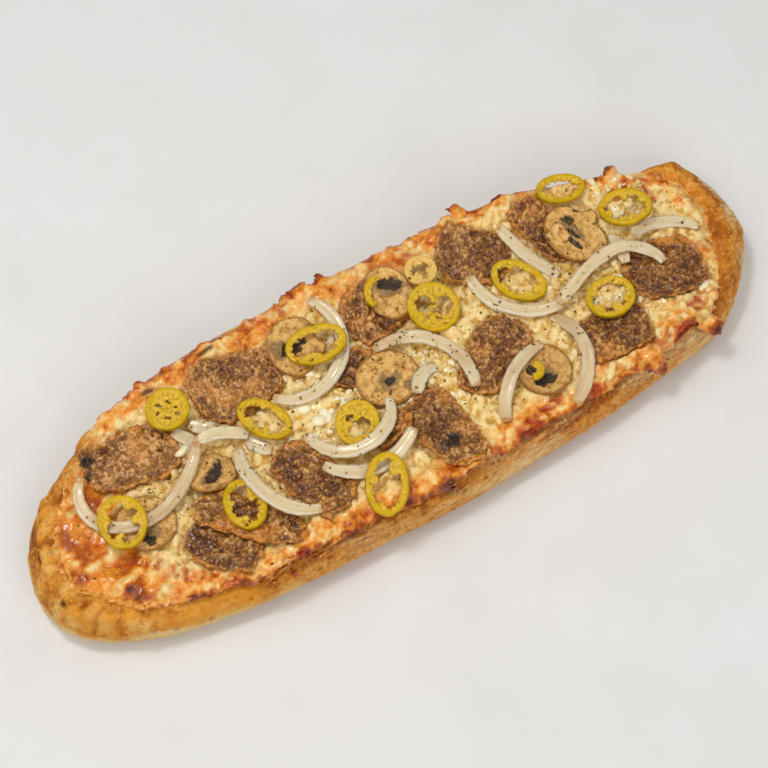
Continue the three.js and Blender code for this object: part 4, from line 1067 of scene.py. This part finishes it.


# pickled pepper: glossy yellow skin with green shade, paler cut flesh, pale ragged membrane inside, and
# painted shade low on the inner wall and in the hollows
def pickledPepper(look):
    made, tree = newMaterial("yellow pepper, pickled and sliced")
    place = add(tree, "TexCoord")
    masks = add(tree, "SeparateColor", {"Color": (add(tree, "Attribute", attribute_name="wall"), "Color")})
    shade = add(tree, "TexNoise",
                {"Vector": (place, "Object"), "Scale": 1 / (6 * mm), "Detail": 3, "Roughness": 0.5})
    skin = add(tree, "ValToRGB", {"Fac": (shade, "Fac")},
               stops=[(0.38, look["skinGreen"]), (0.58, look["skin"])])
    fleck = add(tree, "TexNoise",
                {"Vector": (place, "Object"), "Scale": 1 / (1.3 * mm), "Detail": 4, "Roughness": 0.65})
    flesh = add(tree, "ValToRGB", {"Fac": (fleck, "Fac")},
                stops=[(0.38, look["flesh"]), (0.62, look["membrane"])])
    cutShade = add(tree, "TexNoise",
                   {"Vector": (place, "Object"), "Scale": 1 / (2.2 * mm), "Detail": 3, "Roughness": 0.6})
    cut = add(tree, "ValToRGB", {"Fac": (cutShade, "Fac")},
              stops=[(0.36, look["skin"]), (0.66, look["flesh"])])
    base = add(tree, "Mix", {0: (masks, "Red"), 6: (skin, "Color"), 7: (cut, "Color")}, data_type="RGBA")
    base = add(tree, "Mix", {0: (masks, "Green"), 6: (base, 2), 7: (flesh, "Color")}, data_type="RGBA")
    base = add(tree, "Mix", {0: (masks, "Blue"), 6: (base, 2), 7: look["hollowShade"]}, data_type="RGBA")
    coat = add(tree, "SeparateColor", {"Color": (add(tree, "Attribute", attribute_name="coat"), "Color")})
    base = add(tree, "Mix", {0: (coat, "Red"), 6: (base, 2), 7: look["cheese"]}, data_type="RGBA")
    fine = add(tree, "TexNoise",
               {"Vector": (place, "Object"), "Scale": 1 / (1.1 * mm), "Detail": 3, "Roughness": 0.5})
    gloss = add(tree, "MapRange", {"Value": (masks, "Green"), "To Min": look["roughness"], "To Max": 0.42})
    relief = add(tree, "Bump", {"Height": (fine, "Fac"), "Distance": 0.30 * mm, "Strength": 1.0})
    shader = add(tree, "BsdfPrincipled",
                 {"Base Color": (base, 2), "Roughness": (gloss, "Result"), "IOR": 1.38,
                  "Specular IOR Level": 0.15, "Subsurface Weight": 0.25,
                  "Subsurface Radius": (1.0, 0.8, 0.1), "Subsurface Scale": 0.0014, "Coat Weight": 0.15,
                  "Coat Roughness": 0.06, "Normal": (relief, "Normal")})
    add(tree, "OutputMaterial", {"Surface": (shader, "BSDF")})
    return made


# where a vertical line meets a ring: for each angle the outer and inner radius, the top and the underside
def ringProfile(node, count):
    spots = readSpots(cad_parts[node].data)
    tree = solidOf(node)
    low, high = spots.min(axis=0), spots.max(axis=0)
    centre = (low + high)[:2] / 2
    reach = np.linalg.norm(high - low) / 2 + 1
    if node in ("pepper_13", "pepper_14"):
        plan = spots[:, :2]
        terms = np.column_stack([2 * plan, np.ones(len(plan))])
        centre = np.linalg.lstsq(terms, (plan ** 2).sum(axis=1), rcond=None)[0][:2]
        reach = np.linalg.norm(plan - centre, axis=1).max() + 1
    rows = []
    for k in range(count):
        angle = 2 * math.pi * k / count
        c, s = math.cos(angle), math.sin(angle)
        hits = []
        for r in np.arange(0.4, reach, 0.22):
            x, y = centre[0] + r * c, centre[1] + r * s
            down = tree.ray_cast(Vector((x, y, 90)), Vector((0, 0, -1)))[0]
            if down:
                up = tree.ray_cast(Vector((x, y, -20)), Vector((0, 0, 1)))[0]
                hits.append((r, down.z, up.z))
        if len(hits) > 3:
            hits = np.array(hits)
            rows.append((angle, hits[-1, 0] + 0.11, hits[0, 0] - 0.11, np.median(hits[:, 1]),
                         np.median(hits[:, 2])))
    return centre, np.array(rows)


# eases a row of numbers along a ring or an arc
def calmed(row, rounds, closed):
    for step in range(rounds):
        before, after = np.roll(row, 1), np.roll(row, -1)
        if not closed:
            before[0], after[-1] = row[0], row[-1]
        row = 0.5 * row + 0.25 * (before + after)
    return row


# the wall of a ring or an arc: rounded sections at each angle
def ringWall(look, centre, angle, outer, inner, high, low, closed):
    count, section = len(angle), look["section"]
    phase = 2 * math.pi * np.arange(section) / section
    side = 0.5 - 0.5 * np.sign(np.cos(phase)) * np.abs(np.cos(phase)) ** 0.75
    level = np.sign(np.sin(phase)) * np.abs(np.sin(phase)) ** 0.65
    shrink = np.ones(count)
    if not closed:
        rest = np.minimum(np.arange(count), count - 1 - np.arange(count)) / 5
        shrink = 0.35 + 0.65 * smooth(0, 1, rest)
    radius = outer[:, None] - side[None, :] * ((outer - inner) * shrink)[:, None]
    z = 0.5 * (high + low)[:, None] + ((high - low) * 0.5 * shrink)[:, None] * level[None, :]
    spots = np.stack([centre[0] + radius * np.cos(angle)[:, None], centre[1]
                      + radius * np.sin(angle)[:, None], z], axis=2)
    faces = []
    for k in range(count if closed else count - 1):
        after = (k + 1) % count
        for j in range(section):
            faces.append((k * section + j, after * section + j,
                          after * section + (j + 1) % section, k * section + (j + 1) % section))
    if not closed:
        faces.append(tuple(range(section)))
        faces.append(tuple(reversed(range((count - 1) * section, count * section))))
    return spots.reshape(-1, 3), faces


# places and sizes of the soft lumps that line a ring: ragged inner wall, lobes, and membrane round the slits
def membraneLumps(look, own, random, centre, angle, inner, high, low):
    def at(angleNow):
        return [np.interp(angleNow % (2 * math.pi), angle, row, period=2 * math.pi)
                for row in (inner, high, low)]

    lumps = []
    first, last = angle[0], angle[-1] if angle[-1] > angle[0] else angle[-1] + 2 * math.pi
    span = last - first
    for k in range(int(span * inner.mean() / 0.62)):
        here = first + span * random.random()
        reach, top, under = at(here)
        size = random.uniform(0.35, 0.75)
        lumps.append((here, reach + 0.6 * size - random.uniform(0.1, 1.0), (top + under) / 2
                      + random.uniform(-0.9, 0.7), size))
    for here in np.arange(first, last, 1.7 / inner.mean()):  # small teeth along the inner wall
        here += random.uniform(-0.3, 0.3) / inner.mean()
        reach, top, under = at(here)
        long = random.uniform(0.2, 1.1)
        for t in np.arange(0, long, 0.3):
            lumps.append((here, reach - t, (top + under) / 2 + random.uniform(-0.5, 0.5), 0.62
                          - 0.25 * t / long))
    for seenAngle, share, half in own["lobes"]:
        right, up = math.cos(math.radians(seenAngle)), math.sin(math.radians(seenAngle))
        x, y = seen(right, up)
        here = math.atan2(y, x)
        reach, top, under = at(here)
        for t in np.arange(0, share, 0.5 / reach):
            for k in range(3):
                turn = here + math.radians(half) * (1 - 0.5 * t / share) * random.uniform(-1, 1)
                lumps.append((turn, reach * (1 - t) + random.uniform(-0.3, 0.3), (top + under) / 2
                              + random.uniform(-0.7, 0.5) - 0.6 * t, random.uniform(0.6, 1.05)))
    if "slits" in own:
        wide = inner.max() + 0.5
        for x in np.arange(-wide, wide, 0.85):
            for y in np.arange(-wide, wide, 0.85):
                atX, atY = x + random.uniform(-0.3, 0.3), y + random.uniform(-0.3, 0.3)
                here, out = math.atan2(atY, atX), math.hypot(atX, atY)
                reach, top, under = at(here)
                if out > reach + 0.5:
                    continue
                spot = np.array([[atX, atY]]) - rowShift
                shut = 0.0
                for right, up, long, half, turn in own["slits"]:
                    slitX, slitY = seen(right, up)
                    shut = max(shut,
                               patch(spot, (slitX - 2 * rowShift[0], slitY - 2 * rowShift[1], long + 0.5,
                                            half + 0.5, turn + cameraLook["turnDegrees"]))[0])
                if shut > 0.35:
                    continue
                lumps.append((here, out, (top + under) / 2 - 0.5 + random.uniform(-0.35, 0.35),
                              random.uniform(0.7, 1.0)))
    return lumps


def ballShape(cuts):
    ball = bmesh.new()
    bmesh.ops.create_icosphere(ball, subdivisions=cuts, radius=1.0)
    spots = np.array([v.co[:] for v in ball.verts])
    faces = [tuple(v.index for v in f.verts) for f in ball.faces]
    ball.free()
    return spots, faces


def makePeppers(look):
    surface = pickledPepper(look)
    ball, ballFaces = ballShape(2)
    total = 0
    for number, node in enumerate(nodesOf("pepper")):
        own = pepperLobes[node]
        random = np.random.default_rng(900 + number)
        centre, rows = ringProfile(node, look["stations"])
        closed = len(rows) == look["stations"]
        if not closed:  # start the arc after its gap
            gap = int(np.argmax(np.diff(np.append(rows[:, 0], rows[0, 0] + 2 * math.pi))))
            rows = np.roll(rows, -gap - 1, axis=0)
        angle = rows[:, 0]
        outer, inner, high, low = (calmed(rows[:, k], 6, closed) for k in (1, 2, 3, 4))
        inner = inner - look["thicken"]
        parts = [ringWall(look, centre, angle, outer, inner, high, low, closed)]
        for here, reach, z, size in membraneLumps(look, own, random, centre, angle, inner, high, low):
            place = np.array([centre[0] + reach * math.cos(here), centre[1] + reach * math.sin(here), z])
            parts.append((ball * [size, size, size * 0.85] + place, ballFaces))
        shape = fused(joined("ring", parts), look["voxelMm"])
        spots, links = readSpots(shape), readLinks(shape)
        spots = eased(spots, links, 2)
        writeSpots(shape, spots)
        normals = readNormals(shape)
        away = spots[:, :2] - centre
        here = np.arctan2(away[:, 1], away[:, 0]) % (2 * math.pi)
        rim, hole, top, under = (np.interp(here, angle, row, period=2 * math.pi)
                                 for row in (outer, inner, high, low))
        side = (rim - np.hypot(away[:, 0], away[:, 1])) / (rim - hole)
        soft = smooth(0.35, 0.8, side)
        level = (spots[:, 2] - under) / (top - under)
        radial = np.stack([here * 9, level * 0.5, side * 0.6], axis=1)
        lift = (0.10 * bumps(spots, 3, 430 + number)
                + (0.06 + 0.28 * soft) * bumps(spots, 1.3, 440 + number, 2))
        lift += 0.10 * smooth(0.15, 0.4, side) * bumps(radial, 1.0, 470 + number)
        writeSpots(shape, spots + normals * lift[:, None])
        cut = smooth(0.06, 0.32, side + 0.05 * bumps(spots, 2, 450 + number)) * smooth(0.3, 0.8,
                                                                                       np.abs(normals[:,
                                                                                                      2]))
        pale = smooth(0.55, 1.0, side + 0.30 * bumps(spots, 1.3, 460 + number, 2)) + 0.8 * own["pale"] * cut
        # darker low on the inner wall and in the hollows: painted shade
        shade = (1 - smooth(0.0, 0.55, level)) * smooth(0.3, 0.6, side) * 0.55
        deep = np.clip(hollows(readSpots(shape), links, readNormals(shape), 4) / 0.15, 0, 1)
        paint(shape, "wall", cut * 0.75, pale, np.clip(shade + 0.45 * deep, 0, 1))
        coat = own.get("coated", 0.0) * smooth(-0.2, 0.7, normals[:, 2]
                                               + 0.4 * bumps(spots, 3, 480 + number, 2))
        paint(shape, "coat", coat)
        addPiece("pepperRing" + node[-2:], shape, surface, [node])
        total += len(shape.vertices)
    print("peppers sliced", total)


# the highest point and the slope of what is shown below a plan place
def surfaceAt(graph, x, y):
    hit, place, normal, _, found, _ = bpy.context.scene.ray_cast(graph, Vector((x, y, 90)) * mm,
                                                                 Vector((0, 0, -1)))
    return (np.array(place) / mm, np.array(normal), found.name) if hit else None


# axes that stand on a slope, turned by an angle
def axesOn(normal, angle):
    ahead = np.array([math.cos(angle), math.sin(angle), 0.0])
    ahead -= normal * (ahead @ normal)
    ahead /= np.linalg.norm(ahead)
    return np.stack([ahead, np.cross(normal, ahead), normal])


herbLook = {"count": 900, "tries": 9000, "longMm": (0.5, 1.9), "thickMm": 0.16,
            "green": "#7A6212", "brown": "#60440C", "olive": "#A08A38"}


# oregano, dried and rubbed: dull olive-brown flakes, rough and without gloss
def driedHerb(look):
    made, tree = newMaterial("oregano, dried and rubbed")
    place = add(tree, "TexCoord")
    spots = add(tree, "TexNoise",
                {"Vector": (place, "Object"), "Scale": 1 / (2.5 * mm), "Detail": 2, "Roughness": 0.6})
    tone = add(tree, "ValToRGB", {"Fac": (spots, "Fac")},
               stops=[(0.36, look["brown"]), (0.5, look["green"]), (0.66, look["olive"])])
    shader = add(tree, "BsdfPrincipled", {"Base Color": (tone, "Color"), "Roughness": 0.8, "IOR": 1.45})
    add(tree, "OutputMaterial", {"Surface": (shader, "BSDF")})
    return made


def makeHerbs(look, graph):
    random = np.random.default_rng(71)
    parts = []
    tries = 0
    while len(parts) < look["count"] and tries < look["tries"]:
        tries += 1
        x = random.uniform(-150, 150)
        y = random.normal(0, 19) * (1 if random.random() < 0.8 else 1.5)
        if abs(y) > 44 or random.random() > 1.05 - (abs(x) / 150) ** 2 * 0.8:
            continue
        found = surfaceAt(graph, x, y)
        if not found or found[1][2] < 0.5 or found[2].startswith("b"):
            continue
        if found[2].startswith(("pepper", "kebab")) and random.random() < 0.55:
            continue
        place, normal, _ = found
        axes = axesOn(normal, random.uniform(0, 6.28))
        low, high = look["longMm"]
        long = low + (high - low) * random.random() ** 2.2
        wide = long * random.uniform(0.4, 0.95)
        sides = 7
        ring = np.arange(sides) * 2 * math.pi / sides
        size = random.uniform(0.5, 1.15, sides)
        flake = np.column_stack([np.cos(ring) * long / 2 * size, np.sin(ring) * wide / 2 * size,
                                 random.normal(0, 0.07, sides) + 0.06])
        both = np.vstack([flake, flake + [0, 0, look["thickMm"]]])
        faces = [tuple(reversed(range(sides))), tuple(range(sides, 2 * sides))]
        faces += [(k, (k + 1) % sides, sides + (k + 1) % sides, sides + k) for k in range(sides)]
        parts.append((both @ axes + place, faces))
    addPiece("oreganoFlakes", joined("oreganoFlakes", parts), driedHerb(look))
    print("herbs strewn", len(parts))


crumbLook = {"count": 330, "tries": 3000, "sizeMm": (1.8, 4.6), "white": "#FFF0C6", "cream": "#F0CC84",
             "yellow": "#DDB04E"}
bigCrumbs = [(-6.5, -41.5, 4.0, 3.0), (-89, 14, 3.6, 2.6), (-60.5, -9, 3.2, 2.4), (-39, 6, 3.4, 3.0),
             (-29, 3, 4.2, 3.2), (-33, -2, 3.6, 2.8), (-36, -3, 3.0, 2.4), (-24, -1, 3.0, 2.2)]


# fresh cheese that kept its shape: matt white to cream crumbs, a little see-through at the rims
def freshCheese(look):
    made, tree = newMaterial("fresh cheese, crumbled")
    place = add(tree, "TexCoord")
    masks = add(tree, "SeparateColor", {"Color": (add(tree, "Attribute", attribute_name="age"), "Color")})
    cloud = add(tree, "TexNoise",
                {"Vector": (place, "Object"), "Scale": 1 / (1.6 * mm), "Detail": 3, "Roughness": 0.6})
    level = add(tree, "Math", {0: (cloud, "Fac"), 1: (masks, "Red")}, operation="ADD")
    half = add(tree, "Math", {0: (level, "Value"), 1: 0.5}, operation="MULTIPLY")
    tone = add(tree, "ValToRGB", {"Fac": (half, "Value")},
               stops=[(0.30, look["yellow"]), (0.48, look["cream"]), (0.66, look["white"])])
    fine = add(tree, "TexNoise",
               {"Vector": (place, "Object"), "Scale": 1 / (1.0 * mm), "Detail": 3, "Roughness": 0.6})
    relief = add(tree, "Bump", {"Height": (fine, "Fac"), "Distance": 0.25 * mm, "Strength": 1.0})
    shader = add(tree, "BsdfPrincipled",
                 {"Base Color": (tone, "Color"), "Roughness": 0.34, "IOR": 1.45, "Specular IOR Level": 0.35,
                  "Subsurface Weight": 0.25, "Subsurface Radius": (1.0, 0.8, 0.4),
                  "Subsurface Scale": 0.0016, "Normal": (relief, "Normal")})
    add(tree, "OutputMaterial", {"Surface": (shader, "BSDF")})
    return made


def makeCrumbs(look, graph):
    random = np.random.default_rng(72)
    ball, faces = ballShape(2)
    parts, ages = [], []
    wanted = [(x, y, size) for x, y, *size in bigCrumbs]
    while len(wanted) < look["tries"]:
        x, y = random.uniform(-104, 132), random.normal(0, 18)
        low, high = look["sizeMm"]
        size = (low + (high - low) * random.random() ** 1.8) / 2
        wanted.append((x, y, (size, size * random.uniform(0.55, 0.95))))
    for number, (x, y, (long, wide)) in enumerate(wanted):
        found = surfaceAt(graph, x + rowShift[0], y + rowShift[1])
        if len(parts) >= look["count"]:
            break
        if not found or not found[2].startswith("meltedCheese") or found[1][2] < 0.6 or abs(y) > 37:
            continue
        near = bumps(np.array([[x, y, 0.0]]), 16, 77, 2)[0]
        if number >= len(bigCrumbs) and near < -0.15:
            continue
        place, normal, _ = found
        lumpy = np.sign(ball) * np.abs(ball) ** 0.72
        lumpy = lumpy * (1 + 0.22 * bumps(ball + number * 3.1, 0.9, 500, 2))[:, None]
        body = lumpy * [long, wide, 0.60 * wide] - [0, 0, 0.10 * wide]
        lean = normal + random.normal(0, 0.25, 3)
        parts.append((body @ axesOn(lean / np.linalg.norm(lean), random.uniform(0, 6.28)) + place, faces))
        ages.append(1.0 if number < len(bigCrumbs) else random.uniform(0.15, 0.95))
    shape = joined("cheeseCrumbs", parts)
    paint(shape, "age", np.repeat(ages, len(ball)))
    addPiece("cheeseCrumbs", shape, freshCheese(look))
    print("crumbs laid", len(parts))


stageLook = {
    "floor": "#E6E4E2",
    "floorShade": "#E0DEDB",
    "worldStrength": 0.25,
    "boardMetres": 3.2,
    # name: (watts, size in metres, place in metres)
    "lamps": {"softLamp": (4.4, 0.9, (-0.50, 0.30, 1.05)), "keyLamp": (3.6, 0.18, (-0.22, 0.24, 1.15)),
              "frontLamp": (5.2, 0.8, (-0.15, -0.90, 0.80)), "sideLamp": (1.8, 0.8, (0.75, 0.20, 0.85))},
}


# a matt painted board, so that only the food has gloss
def paintedBoard(look):
    made, tree = newMaterial("painted board, matt")
    place = add(tree, "TexCoord")
    cloud = add(tree, "TexNoise",
                {"Vector": (place, "Object"), "Scale": 1 / (60 * mm), "Detail": 4, "Roughness": 0.6})
    tone = add(tree, "ValToRGB", {"Fac": (cloud, "Fac")},
               stops=[(0.3, look["floorShade"]), (0.7, look["floor"])])
    shader = add(tree, "BsdfPrincipled", {"Base Color": (tone, "Color"), "Roughness": 0.7, "IOR": 1.45})
    add(tree, "OutputMaterial", {"Surface": (shader, "BSDF")})
    return made


def makeStage(look):
    shape = bpy.data.meshes.new("board")
    half = look["boardMetres"] / 2
    shape.from_pydata([(-half, -half, 0), (half, -half, 0), (half, half, 0), (-half, half, 0)], [],
                      [(0, 1, 2, 3)])
    floor = bpy.data.objects.new("board", shape)
    bpy.context.scene.collection.objects.link(floor)
    shape.materials.append(paintedBoard(look))
    world = bpy.data.worlds.new("studio")
    world.use_nodes = True
    sky = world.node_tree.nodes["Background"]
    sky.inputs["Color"].default_value = linear("#FFFFFF")
    sky.inputs["Strength"].default_value = look["worldStrength"]
    bpy.context.scene.world = world
    for name, (watts, size, place) in look["lamps"].items():
        lamp = bpy.data.lights.new(name, "AREA")
        lamp.shape = "SQUARE"
        lamp.size = size
        lamp.energy = watts
        holder = bpy.data.objects.new(name, lamp)
        holder.location = place
        holder.rotation_euler = Vector(place).to_track_quat("Z", "Y").to_euler()
        bpy.context.scene.collection.objects.link(holder)


def makeCamera(look):
    turn, up = math.radians(look["turnDegrees"]), math.radians(look["upDegrees"])
    right = Vector((math.cos(turn), math.sin(turn), 0))
    back = Vector((math.sin(turn) * math.cos(up), -math.cos(turn) * math.cos(up), math.sin(up)))
    high = back.cross(right)
    aim = Vector(look["targetMm"]) + right * look["rightMm"] + high * look["upMm"]
    lens = bpy.data.cameras.new("view")
    lens.lens = look["lensMm"]
    lens.sensor_width = look["sensorMm"]
    camera = bpy.data.objects.new("view", lens)
    matrix = Matrix((right, high, back)).transposed().to_4x4()
    matrix.translation = (aim + back * look["distanceMm"]) * mm
    camera.matrix_world = matrix
    bpy.context.scene.collection.objects.link(camera)
    bpy.context.scene.camera = camera


makeCamera(cameraLook)
makeStage(stageLook)
makeBread(breadLook)
makeSauce(sauceLook)
makeKebab(kebabLook)
makeCheese(cheeseLook)
makeMushrooms(mushroomLook)
makeOnions(onionLook)
makePeppers(pepperLook)
dressed = bpy.context.evaluated_depsgraph_get()
makeCrumbs(crumbLook, dressed)
dressed = bpy.context.evaluated_depsgraph_get()
makeHerbs(herbLook, dressed)
bpy.context.scene.view_settings.view_transform = "Standard"
